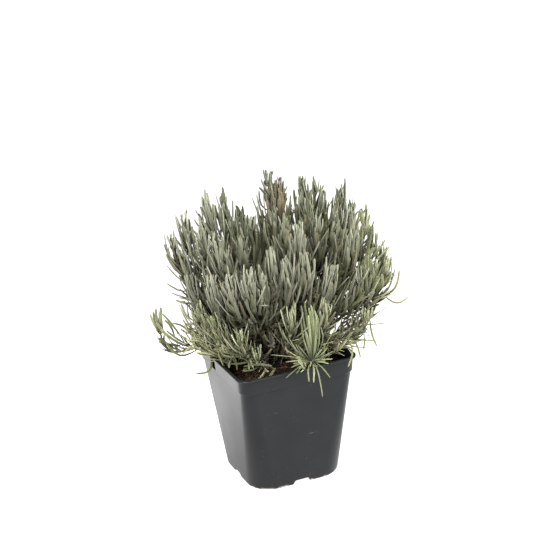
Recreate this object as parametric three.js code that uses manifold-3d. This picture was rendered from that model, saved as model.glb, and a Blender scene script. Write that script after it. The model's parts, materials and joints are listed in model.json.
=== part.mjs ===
// Potted lavender before it flowers: a square nursery pot, its soil, the woody stems and the leafy shoots.
// Millimetres, +Z up. The origin is the middle of the pot's foot, and the pot's faces look along X and Y.
import * as THREE from "three";
import { mergeVertices } from "three/addons/utils/BufferGeometryUtils.js";
import Module from "manifold-3d";

const wasm = await Module();
wasm.setup();

// Driving sizes
const potHeight = 111.5; // foot to lip
const lipHalf = 55; // half the width across the lip
const wallTopHalf = 50.9; // half the width of the wall, just under the rim band
const footHalf = 42.6; // half the width at the foot
const wall = 1.3;
const bandBottom = 97; // the rim band runs from here to the lip
const plateTop = 6.4; // upper face of the floor plate, which stands clear of the ground
const soilLevel = 103.5;
const gap = 0.35; // between pieces that touch
const stemRadius = 1.35;
const leafLength = 36;
const leafWidth = 2.9;
const leafKeel = 1.1; // thickness of a leaf at its midrib
const footSpread = 45; // the shoots start within this distance of the axis along X and Y, inside the rim
const tuftRise = 17; // how far a shoot's top leaves stand above the end of its stem

const up = new THREE.Vector3(0, 0, 1);
const vec = (x, y, z) => new THREE.Vector3(x, y, z);
const mix = (a, b, t) => a + (b - a) * t;
const clamp01 = (t) => Math.min(1, Math.max(0, t));
const radians = (degrees) => (degrees * Math.PI) / 180;

// A steady draw from 0 to 1 for one shoot, one leaf and one use.
function draw(shoot, leaf, use) {
  const n = Math.sin(shoot * 12.9898 + leaf * 78.233 + use * 37.719) * 43758.5453;
  return n - Math.floor(n);
}

// A closed surface through rings that hold the same number of points. The ends are flat fans.
function loft(rings) {
  const n = rings[0].length;
  const index = [];
  for (let r = 0; r + 1 < rings.length; r++)
    for (let i = 0; i < n; i++) {
      const a = r * n + i;
      const b = r * n + ((i + 1) % n);
      index.push(a, b, b + n, a, b + n, a + n);
    }
  const last = (rings.length - 1) * n;
  for (let i = 1; i + 1 < n; i++) {
    index.push(0, i + 1, i);
    index.push(last, last + i, last + i + 1);
  }
  return new THREE.BufferGeometry().setFromPoints(rings.flat()).setIndex(index);
}

function solidOf(geometry) {
  const merged = mergeVertices(geometry, 1e-4);
  const mesh = { numProp: 3, vertProperties: merged.attributes.position.array };
  return new wasm.Manifold(new wasm.Mesh({ ...mesh, triVerts: new Uint32Array(merged.index.array) }));
}

// The largest body of a fused solid, so that no loose scrap or sealed hollow is kept.
function largest(solid) {
  return solid.decompose().sort((a, b) => b.volume() - a.volume())[0];
}

function geometryOf(solid) {
  const { vertProperties, triVerts } = solid.getMesh();
  const geometry = new THREE.BufferGeometry();
  geometry.setAttribute("position", new THREE.BufferAttribute(new Float32Array(vertProperties), 3));
  geometry.setIndex(new THREE.BufferAttribute(triVerts, 1));
  geometry.computeVertexNormals();
  return geometry;
}

function roundedSquare(half, radius, z, cornerSteps = 6) {
  const ring = [];
  for (let corner = 0; corner < 4; corner++)
    for (let step = 0; step <= cornerSteps; step++) {
      const angle = radians(corner * 90 + (step * 90) / cornerSteps);
      const middle = radians(45 + corner * 90);
      const offset = (half - radius) * Math.SQRT2;
      const x = offset * Math.cos(middle) + radius * Math.cos(angle);
      const y = offset * Math.sin(middle) + radius * Math.sin(angle);
      ring.push(vec(x, y, z));
    }
  return ring;
}

// A skin of square tubes that can branch: a tube or a leaf is drawn out of a face of another tube.
class Skin {
  points = [];
  index = [];

  add(point) {
    return this.points.push(point) - 1;
  }

  // A flat or near-flat face, its corners counter-clockwise from outside.
  face(...corners) {
    for (let i = 1; i + 1 < corners.length; i++) {
      const [a, b, c] = [corners[0], corners[i], corners[i + 1]];
      if (b !== c) this.index.push(a, b, c);
    }
  }

  // Four corners round a centre, the first of them towards `first`, counter-clockwise about `along`.
  ring(centre, along, first, radius) {
    const across = first.clone().addScaledVector(along, -along.dot(first)).normalize();
    const other = along.clone().cross(across);
    return [across, other, across.clone().negate(), other.clone().negate()].map((toCorner) =>
      this.add(centre.clone().addScaledVector(toCorner, radius)),
    );
  }

  // The faces between two rings, lowest first. `leave` is a face to leave open.
  band(below, above, leave = -1) {
    below.forEach((corner, i) => {
      const j = (i + 1) % below.length;
      if (i !== leave) this.face(corner, below[j], above[j], above[i]);
    });
  }

  middle(corners) {
    const sum = corners.reduce((total, corner) => total.add(this.points[corner]), vec(0, 0, 0));
    return sum.divideScalar(corners.length);
  }

  solid() {
    return solidOf(new THREE.BufferGeometry().setFromPoints(this.points).setIndex(this.index));
  }
}

// Pot: the wall is square with small corners at the top and nearly round at the foot
const cornerTop = 9.5;
const cornerFoot = 23;
const wallAt = (z) => mix(footHalf, wallTopHalf, z / bandBottom);
const cornerAt = (z) => mix(cornerFoot, cornerTop, z / bandBottom);

function innerWall(z, inset) {
  return roundedSquare(wallAt(z) - inset, cornerAt(z) - inset, z);
}

function box(width, depth, height, x, y, z) {
  return solidOf(bare(new THREE.BoxGeometry(width, depth, height)).translate(x, y, z));
}

// The same geometry with its positions alone, so that shared vertices can be merged.
function bare(geometry) {
  geometry.deleteAttribute("normal");
  geometry.deleteAttribute("uv");
  return geometry;
}

// One of the four drain notches: wider at the ground than above.
function footNotch(turns) {
  const outline = new THREE.Shape([
    new THREE.Vector2(-8.9, -1),
    new THREE.Vector2(8.9, -1),
    new THREE.Vector2(5.9, 4.1),
    new THREE.Vector2(-5.9, 4.1),
  ]);
  const notch = new THREE.ExtrudeGeometry(outline, { depth: 20, bevelEnabled: false });
  notch.rotateX(Math.PI / 2).translate(0, -32, 0).rotateZ((turns * Math.PI) / 2);
  return solidOf(bare(notch));
}

function drainHole(x, y, radius) {
  const hole = new THREE.CylinderGeometry(radius, radius, 8, 12).rotateX(Math.PI / 2).translate(x, y, 4.6);
  return solidOf(bare(hole));
}

function makePot() {
  const body = solidOf(
    loft([
      roundedSquare(footHalf - 0.9, cornerFoot - 0.9, 0),
      roundedSquare(wallAt(2.6), cornerAt(2.6), 2.6),
      roundedSquare(wallTopHalf, cornerTop, bandBottom),
      roundedSquare(wallTopHalf + 1.2, cornerTop + 0.8, bandBottom + 0.7),
      roundedSquare(lipHalf - 2.2, cornerTop + 1, potHeight - 3),
      roundedSquare(lipHalf, cornerTop + 1.8, potHeight - 1.6),
      roundedSquare(lipHalf, cornerTop + 1.8, potHeight - 0.5),
      roundedSquare(lipHalf - 0.6, cornerTop + 1.4, potHeight),
    ]),
  );
  const bandInner = wallTopHalf + 1.2 - wall;
  const inside = solidOf(
    loft([
      innerWall(plateTop, wall),
      innerWall(bandBottom, wall),
      roundedSquare(bandInner, cornerTop - 0.4, bandBottom + 1.2),
      roundedSquare(lipHalf - 2.2 - wall, cornerTop - 0.2, potHeight + 1),
    ]),
  );
  const plateUnder = plateTop - wall;
  const under = solidOf(
    loft([
      roundedSquare(footHalf - 0.9 - 1.9, cornerFoot - 2.8, -1),
      roundedSquare(wallAt(plateUnder) - 1.9, cornerAt(plateUnder) - 1.9, plateUnder),
    ]),
  );
  const cuts = [0, 1, 2, 3].map(footNotch);
  for (const [x, y] of [[24, 24], [-24, 24], [-24, -24], [24, -24]]) cuts.push(drainHole(x, y, 4));
  cuts.push(drainHole(0, 0, 5));
  cuts.push(box(8, 8, 10.6, -53, 14, 103.4)); // label slot through the rim band
  return cuts.reduce((pot, cut) => pot.subtract(cut), body.subtract(inside).subtract(under));
}

// Branches of the plant. Each holds leafy shoots: [bearing in degrees, reach from the axis, height over the foot,
// looseness from 0, an upright tuft, to 1, a sprawling sprig]. Bearing 0 is +X and turns to +Y. Two more numbers
// move the start of a shoot's stem: its share of the reach, and its share of the rise above the soil.
const branches = [
  [[151, 83, 219, 0], [139, 76, 231, 0], [166, 70, 186, 0.3], [150, 103, 146, 0.4, 0.6, 0.2], [128, 90, 190, 0.3]],
  [[118, 69, 239, 0], [105, 63, 238, 0], [119, 40, 224, 0], [103, 24, 227, 0]],
  [[89, 64, 223, 0], [64, 55, 256, 0], [88, 77, 192, 0.2], [70, 79, 206, 0.1], [105, 78, 178, 0.4]],
  [[53, 45, 252, 0], [35, 60, 250, 0], [54, 22, 230, 0], [45, 92, 200, 0.1]],
  [[21, 60, 249, 0], [14, 82, 240, 0], [28, 80, 226, 0.1], [28, 98, 176, 0.5], [60, 76, 158, 0.8]],
  [[4, 82, 229, 0], [-8, 86, 227, 0], [8, 44, 238, 0], [-9, 64, 228, 0]],
  [[-20, 88, 218, 0], [-16, 99, 195, 0.2], [-30, 100, 190, 0.3], [-20, 92, 158, 0.9]],
  [[-18, 44, 227, 0], [-32, 74, 222, 0], [-6, 17, 229, 0]],
  [[163, 56, 227, 0], [-178, 44, 222, 0], [160, 22, 216, 0]],
  [[-163, 64, 197, 0], [-143, 65, 202, 0], [180, 69, 163, 0.6], [-156, 70, 164, 0.5]],
  [[-129, 63, 206, 0], [-121, 50, 200, 0], [-107, 38, 215, 0], [-140, 64, 150, 0.7], [-130, 52, 133, 0.9, 0.5]],
  [
    [-94, 47, 210, 0], [-76, 49, 211, 0], [-53, 30, 229, 0], [-95, 57, 166, 0.7],
    [-84, 69, 170, 0.2, 0.84, 0.22], [-78, 74, 128, 1],
  ],
  [[-60, 65, 200, 0], [-47, 82, 194, 0], [-67, 66, 168, 0.6]],
  [[-40, 90, 198, 0.1], [-40, 85, 153, 0.9]],
];

// Where a shoot's stem starts and ends, and the way its end points.
function shootPlan([bearing, reach, height, loose, share = 0.56, lift = mix(0.42, 0.3, loose)], number) {
  const out = vec(Math.cos(radians(bearing)), Math.sin(radians(bearing)), 0);
  const lean = mix(0.1, 0.45, loose) * clamp01(reach / 60);
  const end = up.clone().addScaledVector(out, lean).normalize();
  const rise = mix(tuftRise, 14, loose);
  const top = out.clone().multiplyScalar(reach).setZ(height).addScaledVector(end, -rise);
  const foot = vec(top.x * share, top.y * share, soilLevel + (top.z - soilLevel) * lift + 2);
  const spread = Math.max(Math.abs(foot.x), Math.abs(foot.y));
  if (spread > footSpread) foot.setX((foot.x * footSpread) / spread).setY((foot.y * footSpread) / spread);
  foot.z = Math.max(foot.z, mix(soilLevel + 6, potHeight + 6, clamp01((spread - 20) / 20)));
  return { number, loose, out, end, top, foot };
}

// Points along a stem, with its start leaning out and its end turned up.
function stemCurve(plan, bow = 0) {
  const length = plan.foot.distanceTo(plan.top);
  const side = plan.out.clone().cross(up);
  const start = plan.foot.clone().addScaledVector(plan.out, length * mix(0.12, 0.34, plan.loose));
  start.addScaledVector(up, length * mix(0.3, 0.14, plan.loose)).addScaledVector(side, bow);
  const finish = plan.top.clone().addScaledVector(plan.end, -length * 0.4).addScaledVector(side, bow);
  return new THREE.CubicBezierCurve3(plan.foot, start, finish, plan.top);
}

// A tube of a few sides along points, with a radius at each. Its rings turn with the path without twisting.
function tube(points, radii, sides) {
  const rings = [];
  let across = null;
  points.forEach((point, i) => {
    const ahead = points[Math.min(i + 1, points.length - 1)].clone();
    ahead.sub(points[Math.max(i - 1, 0)]).normalize();
    if (!across) across = Math.abs(ahead.x) < 0.9 ? vec(1, 0, 0) : vec(0, 1, 0);
    across = across.clone().addScaledVector(ahead, -across.dot(ahead)).normalize();
    const other = ahead.clone().cross(across);
    const ring = [];
    for (let s = 0; s < sides; s++) {
      const angle = (s * 2 * Math.PI) / sides;
      const rim = point.clone().addScaledVector(across, radii[i] * Math.cos(angle));
      ring.push(rim.addScaledVector(other, radii[i] * Math.sin(angle)));
    }
    rings.push(ring);
  });
  return solidOf(loft(rings));
}

// Room that is taken: capsules {a, b, ra, rb, node}, with a radius at each end.
const taken = [];

// The least free distance between two capsules, found from the closest points of their axes.
function clearance(p, q) {
  const u = p.b.clone().sub(p.a);
  const v = q.b.clone().sub(q.a);
  const w = p.a.clone().sub(q.a);
  const a = u.dot(u);
  const b = u.dot(v);
  const c = v.dot(v);
  const d = u.dot(w);
  const e = v.dot(w);
  const denominator = a * c - b * b;
  let s = denominator > 1e-9 ? clamp01((b * e - c * d) / denominator) : 0;
  const t = clamp01((b * s + e) / c);
  s = clamp01((b * t - d) / a);
  const apart = p.a.clone().addScaledVector(u, s).distanceTo(q.a.clone().addScaledVector(v, t));
  return apart - mix(p.ra, p.rb, s) - mix(q.ra, q.rb, t);
}

const reachOf = (c) => c.a.distanceTo(c.b) / 2 + Math.max(c.ra, c.rb);
const middleOf = (c) => c.a.clone().lerp(c.b, 0.5);

function free(capsules, ownNode, ownTwig) {
  return capsules.every((c) => {
    const middle = middleOf(c);
    const reach = reachOf(c) + gap;
    return taken.every((other) => {
      if (other.node === ownNode && other.stem) return true;
      if (other.owner && other.owner === ownTwig) return true;
      if (middle.distanceTo(other.middle) > reach + other.reach) return true;
      return clearance(c, other) > gap;
    });
  });
}

// True where the outer part of a leaf is clear of its own stem.
function clearOfStem(capsule, node) {
  return taken.every((other) => other.node !== node || !other.stem || clearance(capsule, other) > 0);
}

function take(capsules, node, marks = {}) {
  for (const c of capsules) taken.push({ ...c, ...marks, node, middle: middleOf(c), reach: reachOf(c) });
}

// True where a leaf is clear of the soil and of the pot's wall and lip.
function clearOfPot({ a, b }) {
  return [0, 0.25, 0.5, 0.75, 1].every((t) => {
    const point = a.clone().lerp(b, t);
    const spread = Math.max(Math.abs(point.x), Math.abs(point.y));
    if (spread > lipHalf + 2.2) return true;
    if (spread > wallTopHalf - 3) return point.z > potHeight + 2;
    return point.z > soilLevel + 4;
  });
}

function pathCapsules(points, radii) {
  return points.slice(1).map((b, i) => ({ a: points[i], b, ra: radii[i], rb: radii[i + 1] }));
}

// A leaf's bent midline: it leaves the stem at its opening angle and turns up towards its tip.
function leafLine(root, along, radial, opening, size, plan) {
  const first = along.clone().multiplyScalar(Math.cos(opening)).addScaledVector(radial, Math.sin(opening));
  const upward = along.clone().lerp(up, mix(0.55, 0.15, plan.loose)).normalize();
  const flare = opening * mix(0.08, 0.85, plan.loose);
  const second = upward.multiplyScalar(Math.cos(flare)).addScaledVector(radial, Math.sin(flare)).normalize();
  const bend = root.clone().addScaledVector(first, size * 0.34);
  const tip = bend.clone().addScaledVector(second, size * 0.66);
  const waist = new THREE.QuadraticBezierCurve3(root, bend, tip).getPoint(0.6);
  return [root, waist, tip];
}

const shootTip = (curve, plan) => curve.getPoint(1).addScaledVector(plan.end, 5);

// Where along the stem each leaf pair sits: close together towards the tip.
function pairPlaces(plan) {
  const pairs = Math.min(10, Math.floor(plan.foot.distanceTo(plan.top) / 4));
  const crowding = mix(1.5, 1.1, plan.loose);
  return Array.from({ length: pairs }, (_, pair) => 1 - Math.pow(1 - (pair + 1.2) / (pairs + 0.4), crowding));
}

// The centre, direction, first corner's side and size of each ring of a stem.
function stemFrames(curve, plan) {
  let across = vec(1, 0, 0).applyAxisAngle(up, 0.6 * plan.number);
  return [0, ...pairPlaces(plan)].map((t) => {
    const along = curve.getTangent(t).normalize();
    across = across.clone().addScaledVector(along, -across.dot(along)).normalize();
    return { t, centre: curve.getPoint(t), along, across, radius: mix(stemRadius, 0.85, t) };
  });
}

const faceDirection = ({ along, across }, face) => across.clone().applyAxisAngle(along, radians(45 + 90 * face));

// A leaf that finds room: it may swing aside or close up towards its stem. Null where there is none.
function placeLeaf({ t, centre, along, across }, plan, k, face) {
  const leaf = k * 4 + face;
  const radial = faceDirection({ along, across }, face);
  const turn = 24 * (draw(plan.number, leaf, 1) - 0.5);
  const open = radians(mix(64, 20, t) + 24 * plan.loose * (1 - t) + 12 * (draw(plan.number, leaf, 2) - 0.5));
  const shape = mix(0.72, 1, clamp01(t * 2)) * mix(1, 0.84, clamp01(t * 4 - 3)) * mix(1, 0.66, plan.loose);
  const size = leafLength * shape * mix(0.86, 1.12, draw(plan.number, leaf, 3));
  for (const closing of [1, 0.75, 0.5])
    for (const swing of [0, 16, -16, 32, -32]) {
      const facing = radial.clone().applyAxisAngle(along, radians(turn + swing));
      const line = leafLine(centre, along, facing, open * closing, size, plan);
      const places = [0.06, 0.2, 1].map((share) => centre.clone().lerp(line[1], share));
      const capsules = pathCapsules([...places, line[2]], [0.8, 0.95, 1.5, 0.25]);
      const clear = free(capsules, plan.number) && clearOfStem(capsules[2], plan.number);
      if (clear && capsules.every(clearOfPot)) {
        take(capsules.slice(1), plan.number);
        return { line, across: along.clone().cross(facing).normalize(), facing };
      }
    }
  return null;
}

// The three points round a leaf at its widest: two edges and the keel below the midrib.
function leafWaist({ line: [root, waist, tip], across, facing }, width) {
  const ahead = tip.clone().sub(root).normalize();
  const under = ahead.clone().cross(across).normalize();
  if (under.dot(facing) < 0) under.negate();
  const edge = across.clone().multiplyScalar(width / 2);
  return [waist.clone().add(edge), waist.clone().sub(edge), waist.clone().addScaledVector(under, leafKeel)];
}

// One leaf out of the upper part of a stem face with corners a, b, c, d. Its root sinks into the stem's own skin.
function growLeaf(skin, [a, b, c, d], leaf, along) {
  const keel = skin.add(skin.middle([c, d]).addScaledVector(along, -2));
  skin.face(a, b, keel);
  skin.face(b, c, keel);
  skin.face(d, a, keel);
  const waist = leafWaist(leaf, leafWidth).map((point) => skin.add(point));
  const tip = skin.add(leaf.line[2]);
  skin.band([c, d, keel], waist);
  skin.band(waist, [tip, tip, tip]);
}

// The square stem with its leaves drawn out of its faces, a pair above each ring, every pair across the one below.
function makeShoot(curve, plan, frames, leaves) {
  const skin = new Skin();
  let below = null;
  frames.forEach(({ centre, along, across, radius }, k) => {
    const ring = skin.ring(centre, along, across, radius);
    if (!below) skin.face(...ring.toReversed());
    for (let i = 0; below && i < 4; i++) {
      const j = (i + 1) % 4;
      const corners = [below[i], below[j], ring[j], ring[i]];
      const leaf = leaves.get(k * 4 + i);
      if (leaf) growLeaf(skin, corners, leaf, along);
      else skin.face(...corners);
    }
    below = ring;
  });
  const tip = skin.add(shootTip(curve, plan));
  skin.band(below, [tip, tip, tip, tip]);
  return skin.solid();
}

// Woody stems: a rooted crown, a main stem for each branch and a twig to the foot of each shoot
const woodNode = 0;

function branchPath(plans) {
  const middle = plans.reduce((sum, plan) => sum.add(plan.foot), vec(0, 0, 0)).divideScalar(plans.length);
  const start = middle.clone().setZ(0).normalize().multiplyScalar(7.5).setZ(soilLevel + 2);
  const fork = start.clone().lerp(middle, 0.64).setZ(mix(soilLevel + 3, middle.z, 0.55));
  const bend = start.clone().lerp(fork, 0.28).setZ(mix(start.z, fork.z, 0.36));
  return { start, bend, fork };
}

// The way a shoot's stem starts, and the end of the twig that carries it.
function twigEnd(plan) {
  const aim = stemCurve(plan).getTangent(0).normalize();
  return { aim, end: plan.foot.clone().addScaledVector(aim, -gap) };
}

const twigRadius = 1.5;

// A square main stem. Each twig but the last is drawn out of the face that looks most nearly its way; the last is
// the main stem's own end.
function makeBranch(plans) {
  const skin = new Skin();
  const { start, bend, fork } = branchPath(plans);
  const rise = fork.clone().sub(bend).normalize();
  const steep = (plan) => plan.foot.clone().sub(fork).normalize().dot(rise);
  const order = [...plans].sort((p, q) => steep(p) - steep(q));
  const last = twigEnd(order.pop());
  const station = (k) => bend.clone().lerp(fork, k / order.length);
  let below = skin.ring(start, rise, vec(1, 0.3, 0), 2.5);
  skin.face(...below.toReversed());
  const link = (centre, heading, radius, leave) => {
    const first = skin.points[below[0]].clone().sub(skin.middle(below));
    const ring = skin.ring(centre, heading, first, radius);
    skin.band(below, ring, leave);
    const corners = leave < 0 ? null : [below[leave], below[(leave + 1) % 4], ring[(leave + 1) % 4], ring[leave]];
    below = ring;
    return corners;
  };
  link(bend, rise, 2.4, -1);
  order.forEach((plan, k) => {
    const centre = station(k + 1);
    const toFoot = plan.foot.clone().sub(centre).normalize();
    const first = skin.points[below[0]].clone().sub(skin.middle(below)).normalize();
    const facing = (i) => first.clone().applyAxisAngle(rise, radians(45 + 90 * i)).dot(toFoot);
    const face = [0, 1, 2, 3].sort((i, j) => facing(j) - facing(i))[0];
    const corners = link(centre, rise, mix(2.3, 1.9, (k + 1) / order.length), face);
    growTwig(skin, corners, twigEnd(plan));
  });
  const before = last.end.clone().addScaledVector(last.aim, -last.end.distanceTo(fork) * 0.35);
  link(before, last.aim, 1.65, -1);
  link(last.end, last.aim, twigRadius, -1);
  skin.face(...below);
  return skin.solid();
}

function growTwig(skin, corners, { aim, end }) {
  const root = skin.middle(corners);
  const before = end.clone().addScaledVector(aim, -end.distanceTo(root) * 0.4);
  const first = skin.points[corners[0]].clone().sub(root);
  const bent = skin.ring(before, end.clone().sub(root).normalize(), first, twigRadius + 0.15);
  skin.band(corners, bent);
  const tip = skin.ring(end, aim, skin.points[bent[0]].clone().sub(before), twigRadius);
  skin.band(bent, tip);
  skin.face(...tip);
}

function makeCrown(grow) {
  const heights = [34, 70, 92, soilLevel + 5];
  const radii = [2, 6, 10, 9];
  const points = heights.map((z, i) => vec(0, 0, i ? z : z - grow));
  return tube(points, radii.map((r) => r + grow), 10);
}

// Soil: fills the pot to its level, with clods raised on its top
function soilRing(share, level, number) {
  const z = level;
  const half = (wallTopHalf - wall - gap + 0.1) * share;
  const ring = roundedSquare(half, Math.min(half - 0.1, (cornerTop - wall) * mix(1.6, 1, share)), z);
  const height = (point, i) => 1.6 * Math.sin(point.x * 0.21 + 1) * Math.cos(point.y * 0.17) + 3 * draw(number, i, 7);
  const hollow = 3.5 * clamp01((22 - half) / 8);
  return ring.map((point, i) => point.setZ(z - 2 - hollow + height(point, i)));
}

function makeSoil(woodHole) {
  const inset = wall + gap;
  const rings = [innerWall(plateTop + gap, inset), innerWall(bandBottom, inset)];
  rings.push(roundedSquare(wallTopHalf - inset + 0.4, cornerTop - inset, soilLevel - 3));
  for (let k = 0; k < 7; k++) rings.push(soilRing(mix(0.97, 0.08, k / 6), soilLevel + mix(-1, 1.2, k / 6), k));
  return largest(solidOf(loft(rings)).subtract(woodHole));
}

// The stem bowed aside, if it must be, until it is clear of the other stems.
function clearStem(plan) {
  for (const bow of [0, 3, -3, 6, -6, 9, -9, 12, -12, 16, -16, 20, -20]) {
    const curve = stemCurve(plan, bow);
    const places = [0.01, ...pairPlaces(plan)];
    const points = places.map((t) => curve.getPoint(t));
    const capsules = pathCapsules(points, places.map((t) => mix(stemRadius, 0.9, t)));
    if (free(capsules, plan.number, plan.number)) {
      take(capsules, plan.number, { stem: true });
      take([{ a: curve.getPoint(1), b: shootTip(curve, plan), ra: 0.75, rb: 0.1 }], plan.number);
      return curve;
    }
  }
  throw new Error("no room for the stem of shoot " + plan.number);
}

const finishes = {
  pot: new THREE.MeshStandardMaterial({ color: 0x3d3f40, roughness: 0.45, metalness: 0 }),
  soil: new THREE.MeshStandardMaterial({ color: 0x2a1c13, roughness: 0.95, metalness: 0 }),
  bark: new THREE.MeshStandardMaterial({ color: 0x6b5644, roughness: 0.85, metalness: 0 }),
  leaf: new THREE.MeshStandardMaterial({ color: 0x848c72, roughness: 0.75, metalness: 0 }),
  youngLeaf: new THREE.MeshStandardMaterial({ color: 0x8b9a5e, roughness: 0.7, metalness: 0 }),
  dryLeaf: new THREE.MeshStandardMaterial({ color: 0x9a8766, roughness: 0.85, metalness: 0 }),
};
const youngShoots = [51, 52]; // the fresh sprig over the front rim
const dryShoots = [15]; // the brown tuft at the top

function leafFinish(number) {
  if (youngShoots.includes(number)) return finishes.youngLeaf;
  return dryShoots.includes(number) ? finishes.dryLeaf : finishes.leaf;
}

const plant = new THREE.Group();

function addPiece(name, solid, finish) {
  const mesh = new THREE.Mesh(geometryOf(solid), finish);
  mesh.name = name;
  plant.add(mesh);
}

let number = 0;
const planned = branches.map((shoots) => shoots.map((shoot) => shootPlan(shoot, ++number)));
for (const group of planned) {
  const { start, bend, fork } = branchPath(group);
  take(pathCapsules([start, bend, fork], [2.5, 2.4, 2.3]), woodNode);
  for (const plan of group) {
    const { aim, end } = twigEnd(plan);
    const before = end.clone().addScaledVector(aim, -end.distanceTo(fork) * 0.4);
    take(pathCapsules([fork, before, end], [1.9, 1.65, twigRadius]), woodNode, { owner: plan.number });
  }
}

addPiece("pot", makePot(), finishes.pot);
addPiece("soil", makeSoil(makeCrown(gap)), finishes.soil);
addPiece("woody_stems", largest(wasm.Manifold.union([makeCrown(0), ...planned.map(makeBranch)])), finishes.bark);

// Every shoot places its top pair of leaves first, then the pair below, so that no shoot crowds out another's tip.
const plans = planned.flat();
const shoots = plans.map((plan) => {
  const curve = clearStem(plan);
  return { curve, plan, frames: stemFrames(curve, plan), leaves: new Map() };
});
for (let rank = 1; rank <= 10; rank++)
  for (const { plan, frames, leaves } of shoots) {
    const k = frames.length - rank;
    if (k < 1) continue;
    for (const face of [k % 2, (k % 2) + 2]) {
      const leaf = placeLeaf(frames[k], plan, k, face);
      if (leaf) leaves.set(k * 4 + face, leaf);
    }
  }
for (const { curve, plan, frames, leaves } of shoots) {
  const name = "shoot_" + String(plan.number).padStart(2, "0");
  addPiece(name, makeShoot(curve, plan, frames, leaves), leafFinish(plan.number));
}

export default plant;
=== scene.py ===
# %% [markdown]
# # A potted lavender before it flowers
# The plant is a mound of grey-green tufts on short woody stems, in a square nursery pot filled with peat.
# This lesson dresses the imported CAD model: it reads where each stem and leaf of the model is and grows a finer
# one there, so that the plant keeps its form. Lengths are in metres, and MM turns a size in millimetres to metres.

import json
import math

import bmesh
import bpy
import numpy as np
from mathutils import Matrix, Vector, noise


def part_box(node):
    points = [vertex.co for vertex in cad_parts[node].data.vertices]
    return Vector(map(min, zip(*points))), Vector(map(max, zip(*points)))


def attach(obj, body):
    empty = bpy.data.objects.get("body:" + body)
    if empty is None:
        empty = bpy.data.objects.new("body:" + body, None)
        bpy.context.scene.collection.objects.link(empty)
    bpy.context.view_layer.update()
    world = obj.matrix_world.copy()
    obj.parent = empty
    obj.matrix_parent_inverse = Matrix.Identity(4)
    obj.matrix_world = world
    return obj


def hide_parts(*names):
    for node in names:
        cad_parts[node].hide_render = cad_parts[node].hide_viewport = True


MM = 0.001
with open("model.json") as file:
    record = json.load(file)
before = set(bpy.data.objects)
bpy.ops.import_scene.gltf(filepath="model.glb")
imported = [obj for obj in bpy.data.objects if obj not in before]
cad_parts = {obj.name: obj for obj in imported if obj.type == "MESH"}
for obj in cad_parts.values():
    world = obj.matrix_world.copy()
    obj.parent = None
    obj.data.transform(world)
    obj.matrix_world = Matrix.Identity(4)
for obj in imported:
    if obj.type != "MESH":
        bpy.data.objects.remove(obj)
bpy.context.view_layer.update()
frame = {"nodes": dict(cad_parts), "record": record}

# %% [markdown]
# ## Camera
# The photograph looks down a little on the pot's left front corner. The camera stands at that angle and distance,
# with a long lens, and leans by a few degrees as the photograph does.

# %% Camera
CAMERA_BEARING = math.radians(-22.25)
CAMERA_HEIGHT_ANGLE = math.radians(20.1)
CAMERA_DISTANCE = 1204.8 * MM
CAMERA_LEAN = math.radians(-3.58)
CAMERA_AIM = Vector((4.8, -2.0, 176.9)) * MM
LENS = 92.4  # millimetres, on a sensor of this width
SENSOR_WIDTH = 36


def add_camera():
    level = math.cos(CAMERA_HEIGHT_ANGLE)
    east = math.sin(CAMERA_BEARING) * level
    north = -math.cos(CAMERA_BEARING) * level
    back = Vector((east, north, math.sin(CAMERA_HEIGHT_ANGLE)))
    camera = bpy.data.objects.new("camera", bpy.data.cameras.new("camera"))
    camera.data.lens = LENS
    camera.data.sensor_width = SENSOR_WIDTH
    camera.location = CAMERA_AIM + back * CAMERA_DISTANCE
    turn = (-back).to_track_quat("-Z", "Y").to_matrix() @ Matrix.Rotation(CAMERA_LEAN, 3, "Z")
    camera.rotation_euler = turn.to_euler()
    bpy.context.scene.collection.objects.link(camera)
    bpy.context.scene.camera = camera
    return camera


camera = add_camera()
print("camera at", tuple(round(x, 3) for x in camera.location))

# %% [markdown]
# ## Shaders as expressions
# A finish is a tree of nodes. `Wire` wraps an output of a node, so that a sum or product of wires and numbers adds
# the Math nodes by itself. `Finish.add` makes every other node: its type, its settings, then what its sockets get.

# %% Wire and Finish


class Wire:
    """One output of a node. Sums, differences and products of wires and numbers add Math nodes."""

    def __init__(self, finish, socket):
        self.finish = finish
        self.socket = socket

    def math(self, operation, *values):
        return self.finish.add("ShaderNodeMath", {"operation": operation}, dict(enumerate(values)))

    def __add__(self, other):
        return self.math("ADD", self, other)

    def __radd__(self, other):
        return self.math("ADD", other, self)

    def __sub__(self, other):
        return self.math("SUBTRACT", self, other)

    def __rsub__(self, other):
        return self.math("SUBTRACT", other, self)

    def __mul__(self, other):
        return self.math("MULTIPLY", self, other)

    def __rmul__(self, other):
        return self.math("MULTIPLY", other, self)

    def fraction(self):
        return self.math("FRACT", self)

    def clamp(self):
        return self.finish.add("ShaderNodeClamp", {}, {0: self})

    def ramp(self, low, high):
        """0 at low and 1 at high, with a soft start and end."""
        settings = {"interpolation_type": "SMOOTHSTEP"}
        inputs = {"Value": self, "From Min": low, "From Max": high, "To Min": 0.0, "To Max": 1.0}
        return self.finish.add("ShaderNodeMapRange", settings, inputs)


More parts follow.
